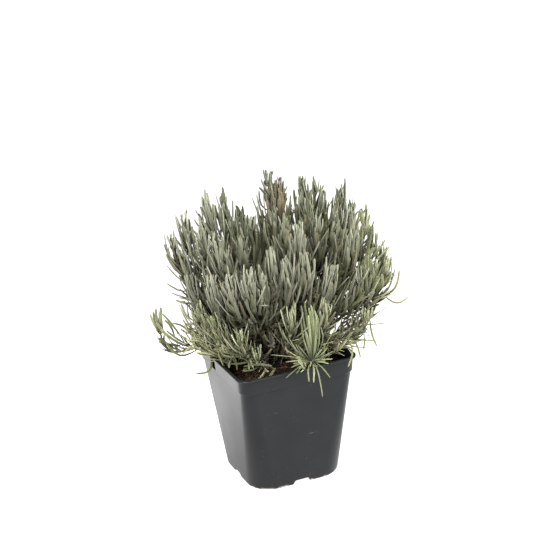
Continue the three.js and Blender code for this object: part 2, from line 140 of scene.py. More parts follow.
class Finish:
    """A procedural material, built up by `add`."""

    def __init__(self, name):
        self.material = bpy.data.materials.new(name)
        self.material.use_nodes = True
        self.tree = self.material.node_tree
        self.tree.nodes.clear()

    def add(self, kind, settings, inputs, output=0):
        """Makes a node, first its settings and then its sockets, and returns a wire from one of its outputs."""
        node = self.tree.nodes.new(kind)
        for key, value in settings.items():
            setattr(node, key, value)
        for key, value in inputs.items():
            if isinstance(value, Wire):
                self.tree.links.new(value.socket, node.inputs[key])
            else:
                node.inputs[key].default_value = value
        return Wire(self, node.outputs[output]) if node.outputs else None

    def place(self, scale=(1.0, 1.0, 1.0)):
        """Object coordinates in millimetres, times a scale for each axis. Below 1, it draws a pattern out."""
        spot = self.add("ShaderNodeTexCoord", {}, {}, "Object")
        factors = tuple(s / MM for s in scale)
        return self.add("ShaderNodeVectorMath", {"operation": "MULTIPLY"}, {0: spot, 1: factors})

    def noise(self, grain, scale=(1.0, 1.0, 1.0), detail=3.0, rough=0.55, warp=0.0):
        """Cloudy noise from 0 to 1 with grains of about `grain` millimetres."""
        inputs = {"Vector": self.place(scale), "Scale": 1 / grain, "Detail": detail, "Roughness": rough}
        return self.add("ShaderNodeTexNoise", {}, {**inputs, "Distortion": warp}, "Fac")

    def mark(self, name):
        """A number that the mesh carries at each of its points."""
        return self.add("ShaderNodeAttribute", {"attribute_name": name}, {}, "Fac")

    def mix(self, factor, first, second):
        """The first colour where the factor is 0 and the second where it is 1."""
        # The Mix node has sockets for every data type. Those for colours are inputs 6 and 7, and output 2.
        return self.add("ShaderNodeMix", {"data_type": "RGBA"}, {0: factor, 6: first, 7: second}, 2)

    def bump(self, height, depth, strength):
        """A normal bent by a height from 0 to 1, which stands for a depth in millimetres."""
        return self.add("ShaderNodeBump", {}, {"Height": height, "Distance": depth * MM, "Strength": strength})

    def close(self, **sockets):
        """Ends the tree in a Principled shader with these sockets."""
        inputs = {name.replace("_", " "): value for name, value in sockets.items()}
        shader = self.add("ShaderNodeBsdfPrincipled", {}, inputs)
        self.add("ShaderNodeOutputMaterial", {}, {"Surface": shader})
        return self.material


def rgb(red, green, blue):
    """A screen colour, each part from 0 to 255, as the linear colour that a shader takes."""
    parts = [part / 255 for part in (red, green, blue)]
    linear = [part / 12.92 if part <= 0.04045 else ((part + 0.055) / 1.055) ** 2.4 for part in parts]
    return (*linear, 1.0)


# %% [markdown]
# ## Floor and light
# The photograph has the plain white ground and even light of a product shot. White lamps alone would bleach the
# grey leaves before the floor turned white. So the floor glows a little by itself, as an opal glass table lit from
# below does. It glows most to the left behind the pot, and the pot's left wall mirrors that spot as a pale sheen.
# Four large soft lamps light the plant from above, left, right and behind.

# %% Floor and lamps
FLOOR_HALF = 60.0
TABLE_GLOW = 2.7
EVEN_GLOW = (0.375, 0.375, 0.375, 1.0)  # over the whole floor: just enough for white
BRIGHT_SPOT = (-150, 210, 0)  # in millimetres
BRIGHT_RADII = (50, 270)  # the glow is full inside the first and even beyond the second
WHITE = (1.0, 1.0, 1.0, 1.0)
WORLD_STRENGTH = 0.12
LAMP_WIDTH = 0.7
# Where each lamp stands and where it points, and its power in watts.
LAMPS = {
    "lamp_above": ((-0.1, -0.75, 1.6), (0, 0, 0.15), 76),
    "lamp_left": ((-1.0, -0.95, 0.55), (0, 0, 0.17), 45),
    "lamp_right": ((1.2, -0.75, 0.6), (0, 0, 0.17), 64),
    "lamp_behind": ((-1.1, 0.9, 0.8), (-0.35, 0.35, 0.0), 29),
}


def floor_finish():
    finish = Finish("pale_floor")
    cloud = finish.noise(60.0)
    colour = finish.mix(cloud, rgb(96, 96, 96), rgb(100, 100, 100))
    ends = {0: finish.place(), 1: BRIGHT_SPOT}
    away = finish.add("ShaderNodeVectorMath", {"operation": "DISTANCE"}, ends, "Value")
    glow = finish.mix(1 - away.ramp(*BRIGHT_RADII), EVEN_GLOW, WHITE)
    return finish.close(Base_Color=colour, Roughness=0.9, Emission_Color=glow, Emission_Strength=TABLE_GLOW)


def add_floor():
    mesh = bpy.data.meshes.new("floor")
    corners = [(-1, -1), (1, -1), (1, 1), (-1, 1)]
    mesh.from_pydata([(x * FLOOR_HALF, y * FLOOR_HALF, 0) for x, y in corners], [], [(0, 1, 2, 3)])
    mesh.materials.append(floor_finish())
    floor = bpy.data.objects.new("floor", mesh)
    bpy.context.scene.collection.objects.link(floor)


def add_lamp(name, place, aim, watts):
    lamp = bpy.data.objects.new(name, bpy.data.lights.new(name, "AREA"))
    lamp.data.size = LAMP_WIDTH
    lamp.data.energy = watts
    lamp.location = place
    lamp.rotation_euler = (Vector(aim) - Vector(place)).to_track_quat("-Z", "Y").to_euler()
    bpy.context.scene.collection.objects.link(lamp)


def set_world():
    world = bpy.data.worlds.new("studio")
    world.use_nodes = True
    background = world.node_tree.nodes["Background"]
    background.inputs["Color"].default_value = WHITE
    background.inputs["Strength"].default_value = WORLD_STRENGTH
    bpy.context.scene.world = world


add_floor()
set_world()
for name, (place, aim, watts) in LAMPS.items():
    add_lamp(name, place, aim, watts)
bpy.context.scene.view_settings.view_transform = "Standard"
print("stage: floor, world and", len(LAMPS), "lamps")

# %% [markdown]
# ## Reading the plant
# Each shoot of the model is a square stem with its leaves drawn out of it. A leaf ends in a point that only three
# edges meet, and those three lead to its waist: two edges and a keel. Without the leaves, the stem is a pile of
# square rings under one end point. So the mesh itself says where every ring and every leaf is.

# %% Read a shoot
WAIST_SHARE = 0.6  # how far along its midline the model's leaf has its waist
TIP_EDGES = 3  # the edges that meet in a leaf's tip
RING_CORNERS = 4  # the corners of each ring of a stem, and the edges that meet in its end point
SAME_PLACE = 0.001 * MM  # corners this close are one


def neighbours(vert):
    return {edge.other_vert(vert) for edge in vert.link_edges}


def in_order(verts):
    """A set of mesh points in the order of the mesh, which is the same each run."""
    return sorted(verts, key=lambda vert: vert.index)


def shortest_side(triangle):
    """The two corners of a triangle with the least between them, and then the third."""
    a, b, c = triangle
    sides = [(a, b, c), (b, c, a), (c, a, b)]
    return min(sides, key=lambda side: (side[0].co - side[1].co).length)


def read_leaf(tip):
    """The model's leaf that ends at a tip: its root corners, its own points, and how it runs."""
    waist = neighbours(tip)
    root = set().union(*(neighbours(vert) for vert in waist)) - waist - {tip}
    if len(waist) != TIP_EDGES or len(root) != TIP_EDGES:
        return None
    first, second, keel = shortest_side(in_order(root))
    a, b, c = in_order(waist)
    left, right = max([(a, b), (b, c), (a, c)], key=lambda pair: (pair[0].co - pair[1].co).length)
    middle = (left.co + right.co) / 2
    across = (left.co - right.co).normalized()
    own = waist | {tip, keel}
    return {"corners": {first, second}, "own": own, "tip": tip.co.copy(), "middle": middle, "across": across}


def nearest_neighbour(vert):
    """The length of the shortest edge that leaves a point of the mesh."""
    return min((other.co - vert.co).length for other in neighbours(vert))


def read_rings(mesh, leaf_verts):
    """The stem's rings from its foot to its end, found by walking down from the end point."""
    stem = [vert for vert in mesh.verts if vert not in leaf_verts]
    end = max((vert for vert in stem if len(vert.link_edges) == RING_CORNERS), key=nearest_neighbour)
    rings = []
    seen = {end} | leaf_verts
    level = neighbours(end) - seen
    while level:
        rings.append(level)
        seen |= level
        level = set().union(*(neighbours(vert) for vert in level)) - seen
    return list(reversed(rings)), end.co.copy()


def read_shoot(node):
    """A shoot's ring centres, its stem's end, and the ring, bend, tip and width line of each leaf."""
    mesh = bmesh.new()
    mesh.from_mesh(node.data)
    bmesh.ops.remove_doubles(mesh, verts=mesh.verts, dist=SAME_PLACE)
    mesh.verts.index_update()
    found = [read_leaf(vert) for vert in mesh.verts if len(vert.link_edges) == TIP_EDGES]
    found = [leaf for leaf in found if leaf]
    leaf_verts = set().union(*(leaf["own"] for leaf in found))
    rings, end = read_rings(mesh, leaf_verts)
    centres = [sum((vert.co for vert in in_order(ring)), Vector()) / len(ring) for ring in rings]
    leaves = []
    for leaf in found:
        k = next(i for i, ring in enumerate(rings) if leaf["corners"] <= ring)
        t = WAIST_SHARE
        bend = (leaf["middle"] - centres[k] * (1 - t) ** 2 - leaf["tip"] * t * t) / (2 * t * (1 - t))
        leaves.append({"ring": k, "bend": bend, "tip": leaf["tip"], "across": leaf["across"]})
    sizes = [len(ring) for ring in rings]
    mesh.free()
    if set(sizes) != {RING_CORNERS}:
        raise ValueError(node.name + " has rings of " + str(sizes))
    return {"rings": centres, "end": end, "leaves": leaves}


shoots = {name: read_shoot(node) for name, node in sorted(frame["nodes"].items()) if name.startswith("shoot_")}
print("read", len(shoots), "shoots with", sum(len(shoot["leaves"]) for shoot in shoots.values()), "leaves")

# %% [markdown]
# ## One leaf
# A lavender leaf is a narrow strap, 2 to 3 mm wide. Its margins roll under, and a midrib runs along its back as a
# raised line and along its face as a groove. A long leaf is a ring of ten points, and a short one a ring of six,
# swept along a bent midline. It is narrow where it leaves the stem, widest past its middle and blunt at its end.
# One leaf hardly shows in the picture, but the thousands together give the plant its look, so numpy sweeps all the
# leaves of a shoot at once. Each point also carries marks, numbers that the leaf's finish reads later.

# %% Blades
BLADE_WIDTH = 2.3 * MM
BLADE_THICK = 1.15 * MM
# Across the blade: share of the half width, and share of the thickness above the blade's middle plane.
TOP_SECTION = [(-1.0, -0.1), (-0.62, 0.4), (0.0, 0.05), (0.62, 0.4), (1.0, -0.1)]
BACK_SECTION = [(0.78, -0.5), (0.4, -0.05), (0.0, -0.5), (-0.4, -0.05), (-0.78, -0.5)]
SLIM_TOP = [(-1.0, -0.05), (0.0, 0.35), (1.0, -0.05)]
SLIM_BACK = [(0.7, -0.5), (0.0, -0.3), (-0.7, -0.5)]
LONG_STATIONS = np.array([0.0, 0.14, 0.31, 0.5, 0.71, 0.9, 0.975, 1.0])
SHORT_STATIONS = np.array([0.0, 0.2, 0.5, 0.8, 0.95, 1.0])
PULL = 1.5  # above 1 the midline hugs its bend, so that the leaf runs like a J
# Shares of a leaf's length: where its narrow base ends, and where its taper and its blunt end start.
BASE_ENDS = 0.4
TAPER_STARTS = 0.7
TAPER_LENGTH = 0.3
END_STARTS = 0.94
END_LENGTH = 0.06
TAPER = 0.16  # the share of its width that a leaf loses over its taper
MARKS = ("along", "side", "back", "tint", "age", "wood", "shade")
TINY = 1e-12


def unit(vectors):
    return vectors / np.maximum(np.linalg.norm(vectors, axis=-1, keepdims=True), TINY)


def marks_of(shape, **values):
    """The marks of points in an array of this shape: 0, apart from the values given by name."""
    marks = np.zeros((*shape, len(MARKS)))
    for name, value in values.items():
        marks[..., MARKS.index(name)] = value
    return marks


def tube_faces(first, rings, ring):
    """The faces of a closed tube of rings whose vertices start at `first`."""
    faces = [
        (a + i, a + (i + 1) % ring, a + ring + (i + 1) % ring, a + ring + i)
        for a in range(first, first + (rings - 1) * ring, ring)
        for i in range(ring)
    ]
    last = first + (rings - 1) * ring
    return faces + [tuple(range(first + ring - 1, first - 1, -1)), tuple(range(last, last + ring))]


def tube_part(points, marks):
    """The points, faces and marks of a tube, from points and marks that are given ring by ring."""
    rings, ring = points.shape[:2]
    return points.reshape(-1, 3), tube_faces(0, rings, ring), marks.reshape(-1, len(MARKS))


def blade_width(s):
    """The share of the full width at a share of the length: a narrow base and a blunt end."""
    base = 0.5 + 0.5 * np.clip(s / BASE_ENDS, 0, 1) ** 0.8
    taper = 1 - TAPER * np.clip(s - TAPER_STARTS, 0, 1) / TAPER_LENGTH
    end = np.sqrt(np.clip(1 - ((s - END_STARTS) / END_LENGTH) ** 2, 0.03, 1))
    return base * taper * np.where(s > END_STARTS, end, 1.0)


def sweep_blades(leaves, stations, top=TOP_SECTION, back=BACK_SECTION):
    """Points, faces and marks of many leaves that share their stations and their section."""
    root, bend, tip, across, outward = (np.array([leaf[key] for leaf in leaves]) for key in
                                        ("root", "bend", "tip", "across", "outward"))
    width, tint, age, curl, sway, roll = (np.array([leaf[key] for leaf in leaves]) for key in
                                          ("width", "tint", "age", "curl", "sway", "roll"))
    s = stations[None, :, None]
    start, middle, end = (1 - s) ** 2, 2 * PULL * s * (1 - s), s * s
    line = (start * root[:, None] + middle * bend[:, None] + end * tip[:, None]) / (start + middle + end)
    ahead = np.gradient(line, axis=1)
    ahead[:, 0] = bend - root
    ahead[:, -1] = tip - bend
    ahead = unit(ahead)
    side = unit(across[:, None] - ahead * (across[:, None] * ahead).sum(-1, keepdims=True))
    face = np.cross(ahead, side)
    # The groove is on the side that looks back to the stem, so a face that looks outward is turned round.
    flip = np.where((face[:, :1] * outward[:, None]).sum(-1, keepdims=True) < 0, -1.0, 1.0)
    side, face = side * -flip, face * -flip
    turn = roll[:, None, None] * s
    side, face = side * np.cos(turn) + face * np.sin(turn), face * np.cos(turn) - side * np.sin(turn)
    line = line + side * (sway[:, None, None] * np.sin(math.pi * s)) + face * (curl[:, None, None] * s ** 3)
    section = np.array(top + back)
    half = (width[:, None] * blade_width(stations)[None] / 2)[:, :, None, None]
    thick = (BLADE_THICK * width[:, None] / BLADE_WIDTH * blade_width(stations)[None])[:, :, None, None]
    points = line[:, :, None] + side[:, :, None] * section[None, None, :, :1] * half
    points = points + face[:, :, None] * section[None, None, :, 1:] * thick
    count, rings, ring = points.shape[:3]
    faces = []
    for leaf in range(count):
        faces += tube_faces(leaf * rings * ring, rings, ring)
    marks = marks_of(
        (count, rings, ring), along=stations[None, :, None], side=np.abs(section[:, 0]),
        back=[0.0] * len(top) + [1.0] * len(back), tint=tint[:, None, None], age=age[:, None, None],
    )
    return points.reshape(-1, 3), faces, marks.reshape(-1, len(MARKS))


# %% [markdown]
# ## Stems
# A young lavender stem is square, felted and a little ribbed. It is swept as a tube of eight points, with its four
# ribs standing out, through the middles of the model's rings.

# %% Stem tubes
STEM_RADII = (1.3 * MM, 0.75 * MM)  # at the foot and at the end
STEM_POINT = 0.15 * MM
STEM_SIDES = 8
STEM_RIBS = 4
RIB_RISE = 0.12  # as a share of the radius
AWRY = (0.3, 1.0, 0.1)  # a direction that no stem takes


def smooth_path(points, steps):
    """A path through all the points, with `steps` pieces between each two."""
    points = np.array(points, float)
    padded = np.vstack([2 * points[0] - points[1], points, 2 * points[-1] - points[-2]])
    path = []
    for i in range(len(points) - 1):
        a, b, c, d = padded[i : i + 4]
        for t in np.arange(steps) / steps:
            leaving = t * (c - a) / 2
            turning = t * t * (a - 2.5 * b + 2 * c - d / 2)
            arriving = t ** 3 * (1.5 * (b - c) + (d - a) / 2)
            path.append(b + leaving + turning + arriving)
    return np.array([*path, points[-1]])


def path_frames(path):
    """Directions across and beside a path, carried along it without a twist."""
    ahead = unit(np.gradient(path, axis=0))
    across = [unit(np.cross(ahead[0], AWRY))]
    for direction in ahead[1:]:
        across.append(unit(across[-1] - direction * across[-1].dot(direction)))
    across = np.array(across)
    return across, np.cross(ahead, across)


def sweep_tube(path, radii, sides, ribs=0.0):
    """Points of a tube round a path, ring by ring. Ribs stand out by a share of the radius."""
    across, beside = path_frames(path)
    angles = np.arange(sides) * 2 * math.pi / sides
    around = across[:, None] * np.cos(angles)[None, :, None] + beside[:, None] * np.sin(angles)[None, :, None]
    reach = np.asarray(radii)[:, None] * (1 + ribs * np.cos(STEM_RIBS * angles))[None, :]
    return path[:, None] + around * reach[..., None]


# %% [markdown]
# ## More leaves than the model holds
# The real shoots carry three or four times as many leaves as the model's. A leaf opens from its stem at an angle
# and then turns up, and the looser it is, the less it turns. New pairs crowd below the end of each stem: the lower
# a pair, the longer its leaves and the wider they open, so that a tuft looks like an open brush. Small leaves fill
# the axils of the lower pairs, and a bud of short leaves closes the top. A few leaves that the photograph shows one
# by one are placed as listed. Every draw comes from a generator with the shoot's seed, so each run is the same.

# %% Bend a leaf
FIRST_SHARE = 0.31  # of a leaf's length, before it turns up
FULL_BOW = 28 * MM  # leaves shorter than this are straighter
UP = Vector((0, 0, 1))
# How much leaves differ.
WIDTH_SHARES = (0.78, 1.15)
TINT_SPREAD = 0.27
CURL = 2.2  # of the tip, in millimetres
CURL_SPREAD = 2.4
SWAY_SPREAD = 1.7  # of the middle to its side, in millimetres
TWIST_SPREAD = 0.4  # from root to tip, in radians
LEAN_SPREAD = 0.14  # of the second half, in radians
ASIDE_SPREAD = 0.15


def stem_place(rings, share):
    """The point and direction of a stem at a ring number that may lie between two rings."""
    k = min(int(share), len(rings) - 2)
    step = rings[k + 1] - rings[k]
    return rings[k] + step * (share - k), step.normalized()


def leaf_runs(shoot):
    """Where each leaf of the model leaves the stem, which way it faces, and how far it opens and leans."""
    runs = []
    for leaf in shoot["leaves"]:
        root, along = stem_place(shoot["rings"], leaf["ring"])
        outward = leaf["tip"] - root
        outward = (outward - along * outward.dot(along)).normalized()
        opening = along.angle(leaf["bend"] - root)
        lean = along.lerp(UP, 0.5).angle(leaf["tip"] - leaf["bend"])
        runs.append({"at": leaf["ring"], "root": root, "outward": outward, "loose": lean / opening})
    return runs


def new_leaf(root, bend, tip, across, outward, rng, width, age, tint, bow=1.0):
    """A leaf that runs from its root through its bend to its tip. A bow below 1 makes it straighter."""
    return {
        "root": root,
        "bend": bend,
        "tip": tip,
        "across": across,
        "outward": outward,
        "width": width * rng.uniform(*WIDTH_SHARES),
        "tint": float(np.clip(rng.normal(tint, TINT_SPREAD), 0, 1)),
        "age": age,
        "curl": bow * rng.normal(CURL, CURL_SPREAD) * MM,
        "sway": bow * rng.normal(0, SWAY_SPREAD) * MM,
        "roll": bow * rng.normal(0, TWIST_SPREAD),
    }


def bent_leaf(root, along, outward, length, opening, loose, rng, width, age, tint, rise=0.6):
    """A leaf that opens from its stem at an angle and then turns up. A loose one goes on leaning out.

    Its second half turns from the stem's direction toward the upright, by the share `rise`."""
    across = along.cross(outward)
    first = along * math.cos(opening) + outward * math.sin(opening)
    upward = along.lerp(UP, rise - 0.5 * loose).normalized()
    lean = opening * (0.2 + 0.75 * loose) + rng.normal(0, LEAN_SPREAD)
    second = upward * math.cos(lean) + outward * math.sin(lean) + across * rng.normal(0, ASIDE_SPREAD)
    bend = root + first * length * FIRST_SHARE
    tip = bend + second * length * (1 - FIRST_SHARE)
    bow = (1 + 1.1 * loose) * min(length / FULL_BOW, 1)
    return new_leaf(root, bend, tip, across, outward, rng, width, age, tint, bow)


# %% Model leaves and placed leaves
DRAWN_IN = 0.15  # how far the bends of a tuft's leaves are drawn in to the stem, as a share of the way
STOOD_UP = 0.4  # how far these leaves are turned upright beyond their bends
RIGHT = Vector((0.927, -0.375, 0))
FORWARD = Vector((-0.375, -0.927, 0))
PLACED_BOW = 0.3  # a placed leaf keeps close to its line


def width_of(loose, slim):
    """Tufts carry the widest leaves and sprawling or low sprigs the narrowest."""
    return BLADE_WIDTH * (1 - 0.3 * loose) * slim


def model_leaves(shoot, runs, slim, age, tint, rng):
    """The model's own leaves. Those of a tuft stand a little more upright."""
    leaves = []
    for leaf, run in zip(shoot["leaves"], runs):
        loose = min(run["loose"], 1)
        bend = run["root"].lerp(leaf["bend"], 1 - DRAWN_IN * (1 - loose))
        onward = leaf["tip"] - leaf["bend"]
        upright = onward.normalized().lerp(UP, STOOD_UP * (1 - loose)).normalized()
        tip = bend + upright * onward.length
        width = width_of(loose, slim)
        years = age(leaf["ring"])
        leaves.append(new_leaf(run["root"], bend, tip, leaf["across"], run["outward"], rng, width, years, tint))
    return leaves


def facing(right, forward, up):
    """A place given as the photograph shows it: millimetres right, toward the camera and up."""
    return (RIGHT * right + FORWARD * forward + UP * up) * MM


def placed_leaves(runs, age, tint, rng):
    """Single leaves from a root through a bend to a tip, each behind its width in millimetres."""
    leaves = []
    for width, *run in runs:
        root, bend, tip = (facing(*place) for place in run)
        across = (tip - root).cross(FORWARD).normalized()
        leaves.append(new_leaf(root, bend, tip, across, FORWARD, rng, width * MM, age, tint, PLACED_BOW))
    return leaves


# %% Added leaves
GOLDEN_TURN = math.radians(137.5)
PAIR_SPACING = 2.65 * MM
TUFT_DEPTH = 44 * MM  # the length of stem below its end that the long leaves crowd on
TUFT_TOP = 9 * MM  # the bare length of stem over the highest of these leaves, which the bud hides
# Tufts differ in the length of their leaves, in how wide these open and in how many grow.
VIGOUR = (0.88, 1.06)
WIDENESS = (0.8, 1.22)
GROWN_SHARE = (0.84, 1.0)
# The length in millimetres and the opening in degrees of an added leaf at the stem's end, and what it gains from
# there down the tuft.
PAIR_LENGTH = 16
PAIR_LENGTH_GAIN = 31
PAIR_OPENING = 22
PAIR_OPENING_GAIN = 55
PAIR_OPENING_SPREAD = 9
STRAY_FROM = 0.9  # a draw above this makes a leaf looser
STRAY_LOOSENESS = 0.3
LOWER_SHARE = 0.75  # the share of the rings that bear axil leaves
AXIL_COUNTS = (1, 4)  # from the first and below the second
AXIL_LENGTHS = (7, 17)
AXIL_OPENINGS = (0.4, 1.1)
AXIL_WIDTH = 1.6 * MM
AXIL_LOOSENESS = 0.4
BUD_LEAVES = 7
BUD_LENGTH = 19  # of the lowest leaf of the bud, in millimetres
BUD_OPENING = 40  # of the same leaf, in degrees
BUD_WIDTH = 2.1 * MM
BUD_LOOSENESS = 0.05


def turned_outward(along, turn):
    return Matrix.Rotation(turn, 3, along) @ along.orthogonal().normalized()


def added_pairs(shoot, loose, size, full, slim, age, tint, rng):
    """Pairs crowded below the stem's end. The lower a pair, the longer its leaves and the wider they open."""
    vigour = rng.uniform(*VIGOUR) * size
    wideness = rng.uniform(*WIDENESS)
    fullness = rng.uniform(*GROWN_SHARE) * size * full
    rings = shoot["rings"]
    leaves = []
    lengths = [0.0]
    for below, above in zip(rings, rings[1:]):
        lengths.append(lengths[-1] + (above - below).length)
    turn = rng.uniform(0, math.tau)
    for run_length in np.arange(max(lengths[-1] - TUFT_DEPTH, 4 * MM), lengths[-1] - TUFT_TOP, PAIR_SPACING):
        share = float(np.interp(run_length, lengths, range(len(rings))))
        root, along = stem_place(rings, share)
        depth = (lengths[-1] - run_length) / TUFT_DEPTH
        turn += GOLDEN_TURN
        for half in (0, math.pi):
            if rng.uniform() > fullness:
                continue
            outward = turned_outward(along, turn + half + rng.normal(0, 0.25))
            full_length = (PAIR_LENGTH + PAIR_LENGTH_GAIN * depth) * MM * vigour
            length = full_length * rng.uniform(0.8, 1.08) * (1 - 0.35 * loose)
            angle = (PAIR_OPENING + PAIR_OPENING_GAIN * depth) * wideness + rng.normal(0, PAIR_OPENING_SPREAD)
            opening = math.radians(angle)
            stray = STRAY_LOOSENESS * (rng.uniform() > STRAY_FROM)
            leaf_loose = min(loose + stray, 1)
            look = (width_of(leaf_loose, slim), age(share), tint)
            leaves.append(bent_leaf(root, along, outward, length, opening, leaf_loose, rng, *look))
    return leaves


def axil_leaves(shoot, runs, age, tint, rng):
    """Clusters of small leaves in the axils of the lower pairs."""
    leaves = []
    for run in runs:
        if run["at"] > LOWER_SHARE * len(shoot["rings"]):
            continue
        root = run["root"]
        _, along = stem_place(shoot["rings"], run["at"])
        for _ in range(rng.integers(*AXIL_COUNTS)):
            outward = Matrix.Rotation(rng.normal(0, 0.6), 3, along) @ run["outward"]
            length = rng.uniform(*AXIL_LENGTHS) * MM
            opening = rng.uniform(*AXIL_OPENINGS)
            look = (AXIL_WIDTH, age(run["at"]), tint)
            leaves.append(bent_leaf(root, along, outward, length, opening, AXIL_LOOSENESS, rng, *look))
    return leaves


def bud_leaves(shoot, tint, rng):
    """The bud that closes a shoot. Its higher leaves are shorter and open less."""
    rings = shoot["rings"]
    root, along = stem_place(rings, len(rings) - 1)
    leaves = []
    for k in range(BUD_LEAVES):
        length = (BUD_LENGTH - k) * MM * rng.uniform(0.82, 1.08)
        place = root + (shoot["end"] - root) * (0.1 * k)
        outward = turned_outward(along, k * GOLDEN_TURN)
        opening = math.radians(BUD_OPENING - 3 * k)
        leaves.append(bent_leaf(place, along, outward, length, opening, BUD_LOOSENESS, rng, BUD_WIDTH, 0.0, tint))
    return leaves


print("a tuft:", int((TUFT_DEPTH - TUFT_TOP) / PAIR_SPACING), "added pairs under a bud of", BUD_LEAVES, "leaves")

# %% [markdown]
# ## Leaf felt
# The leaves are green under a grey felt of tiny branched hairs. The felt is thickest on the back and on the rolled
# margins. Leaves differ: some are greener, some tan or a little mauve, and many have a tan tip. Their feet and what
# lies deep in the plant are painted darker, as painted shade. All of that comes from marks that the mesh carries,
# with fine noise for the felt itself. The roughness is high and a faint sheen stands for the hairs, because felt
# hardly shines.

# %% Leaf finish
HAIR = rgb(134, 137, 122)
MAUVE = rgb(117, 106, 100)
FOOT_SHADE = rgb(36, 38, 20)
PALE_BARK = rgb(118, 108, 84)
DEEP_SHADE = rgb(34, 36, 10)


def leaf_finish(name, green, grey, tan, stem_colour):
    """Green under grey felt, with a tan for what is dry and a colour for the stem."""
    finish = Finish(name)
    along, side, back, tint, age, wood, shade = (finish.mark(mark) for mark in MARKS)
    cloud = finish.noise(4.0, detail=2.0)
    felt = finish.noise(0.22, detail=2.0, rough=0.7)
    margin = side.ramp(0.45, 0.8) + (1 - side.ramp(0.0, 0.25)) * back
    cover = (back * 0.1 + margin * 0.85 + (cloud - 0.5) * 0.7 + (tint - 0.55) * 0.9).clamp()
    colour = finish.mix(cover, green, grey)
    colour = finish.mix((felt - 0.35).clamp() * 0.3, colour, HAIR)
    dry_tip = along.ramp(0.88, 1.02) * (tint * 7.3).fraction().ramp(0.7, 0.98)
    dry = (age + dry_tip * 0.75 + (cloud - 0.62).clamp() * 0.8).clamp()
    colour = finish.mix(dry, colour, tan)
    mauve = (tint * 13.7).fraction().ramp(0.6, 0.9) * cover
    colour = finish.mix(mauve * 0.35, colour, MAUVE)
    # Painted shade: the lower part of each leaf is painted darker, as if shaded by the leaves around it.
    foot = (1 - along.ramp(0.0, 0.65)) * (1 - wood)
    colour = finish.mix(foot * 0.62, colour, FOOT_SHADE)
    streak = finish.noise(1.2, scale=(1.0, 1.0, 0.2))
    bark = finish.mix(streak, stem_colour, PALE_BARK)
    colour = finish.mix(wood, colour, bark)
    colour = finish.mix(shade * 0.8, colour, DEEP_SHADE)
    height = felt * 0.6 + streak * wood
    roughness = 0.78 + (felt - 0.5) * 0.2
    normal = finish.bump(height, 0.12, 0.6)
    return finish.close(
        Base_Color=colour, Roughness=roughness, Normal=normal,
        Specular_IOR_Level=0.12, Sheen_Weight=0.06, Sheen_Roughness=0.5,
    )


# The green, the grey, the tan and the stem's colour of each kind of leaf.
LEAF_COLOURS = {
    "leaf": (rgb(34, 42, 11), rgb(115, 117, 101), rgb(88, 78, 54), rgb(48, 42, 30)),
    "low_leaf": (rgb(45, 54, 18), rgb(140, 142, 112), rgb(98, 89, 62), rgb(60, 50, 35)),
    "young_leaf": (rgb(38, 51, 15), rgb(114, 121, 87), rgb(96, 86, 56), rgb(66, 66, 36)),
    "dry_leaf": (rgb(50, 48, 31), rgb(98, 92, 76), rgb(95, 82, 63), rgb(58, 48, 35)),
}
LEAF_FINISHES = {kind: leaf_finish(kind + "_felt", *colours) for kind, colours in LEAF_COLOURS.items()}
print("leaf finishes:", ", ".join(LEAF_FINISHES))

# %% [markdown]
# ## How the shoots differ
# The tufts at the top stand in full light, and their leaves are the widest and greyest. The low sprigs at the sides
# are looser, greener and yellower. Tufts that others hide are thinner. These lists say which shoots differ and how
# much, as the photograph shows them.

# %% Facts of the shoots
SLOTS = {part["node"]: part["material_slot"] for part in frame["record"]["subparts"]}
FRESH_SHOOTS = ("shoot_51", "shoot_52")
SPRIG = "shoot_04"  # it leans out to the left, and its leaves are placed one by one
LOOSENESS = {SPRIG: 0.0, "shoot_40": 0.2, "shoot_41": 0.2, "shoot_45": 0.6, "shoot_46": 0.4, "shoot_03": 0.1}
# How large the added leaves of the low shoots are beside those of a tuft.
LOW_SHOOTS = {
    SPRIG: 0.5, "shoot_31": 0.85, "shoot_40": 0.95, "shoot_41": 0.9, "shoot_45": 0.35, "shoot_46": 0.42,
    "shoot_50": 0.75, "shoot_55": 0.85, "shoot_57": 0.75,
}
# How many of its added leaves a shoot has, where others hide it or it stands in the shade.
FULLNESS = {
    "shoot_08": 0.55, "shoot_09": 0.6, "shoot_10": 0.55, "shoot_37": 0.6, "shoot_12": 0.6, "shoot_54": 0.4,
    "shoot_33": 0.7, "shoot_32": 0.7, "shoot_26": 0.7, "shoot_22": 0.6, "shoot_31": 0.8, "shoot_45": 0.5,
    SPRIG: 1.1, "shoot_46": 0.7, "shoot_57": 0.8,
}
# How far the looks push the middle and the end of the sprig off the model's, in millimetres: it sags.
SPRIG_PUSH = ((0, 0, -12), (0, 0, -3))
# Its leaves: width, root, bend and tip, in millimetres right, toward the camera and up.
SPRIG_LEAVES = [
    (2.4, (-97, -12, 127), (-102, -12, 134), (-106, -12, 145)),
    (2.2, (-98, -12, 129), (-103, -14, 135), (-103, -14, 147)),
    (2.4, (-98, -12, 129), (-100, -10, 138), (-100, -10, 151)),
    (2.6, (-96, -12, 128), (-97, -12, 138), (-96, -12, 151)),
    (2.2, (-99, -12, 128), (-99, -16, 136), (-98, -15, 145)),
    (2.6, (-82, -10, 115), (-92, -8, 118), (-100, -8, 124)),
    (2.1, (-66, -8, 112), (-85, -4, 102), (-94, -4, 122)),
    (1.9, (-68, -8, 117), (-76, -8, 136), (-87, -8, 137)),
    (2.0, (-78, -9, 118), (-86, -9, 136), (-95, -9, 146)),
    (2.0, (-86, -10, 122), (-88, -12, 135), (-94, -12, 138)),
    (2.4, (-74, -8, 114), (-84, -6, 119), (-92, -6, 127)),
    (2.4, (-80, -8, 117), (-90, -7, 123), (-98, -7, 133)),
    (2.3, (-85, -9, 120), (-95, -8, 128), (-101, -8, 139)),
    (2.3, (-75, -9, 115), (-85, -10, 123), (-93, -10, 130)),
]
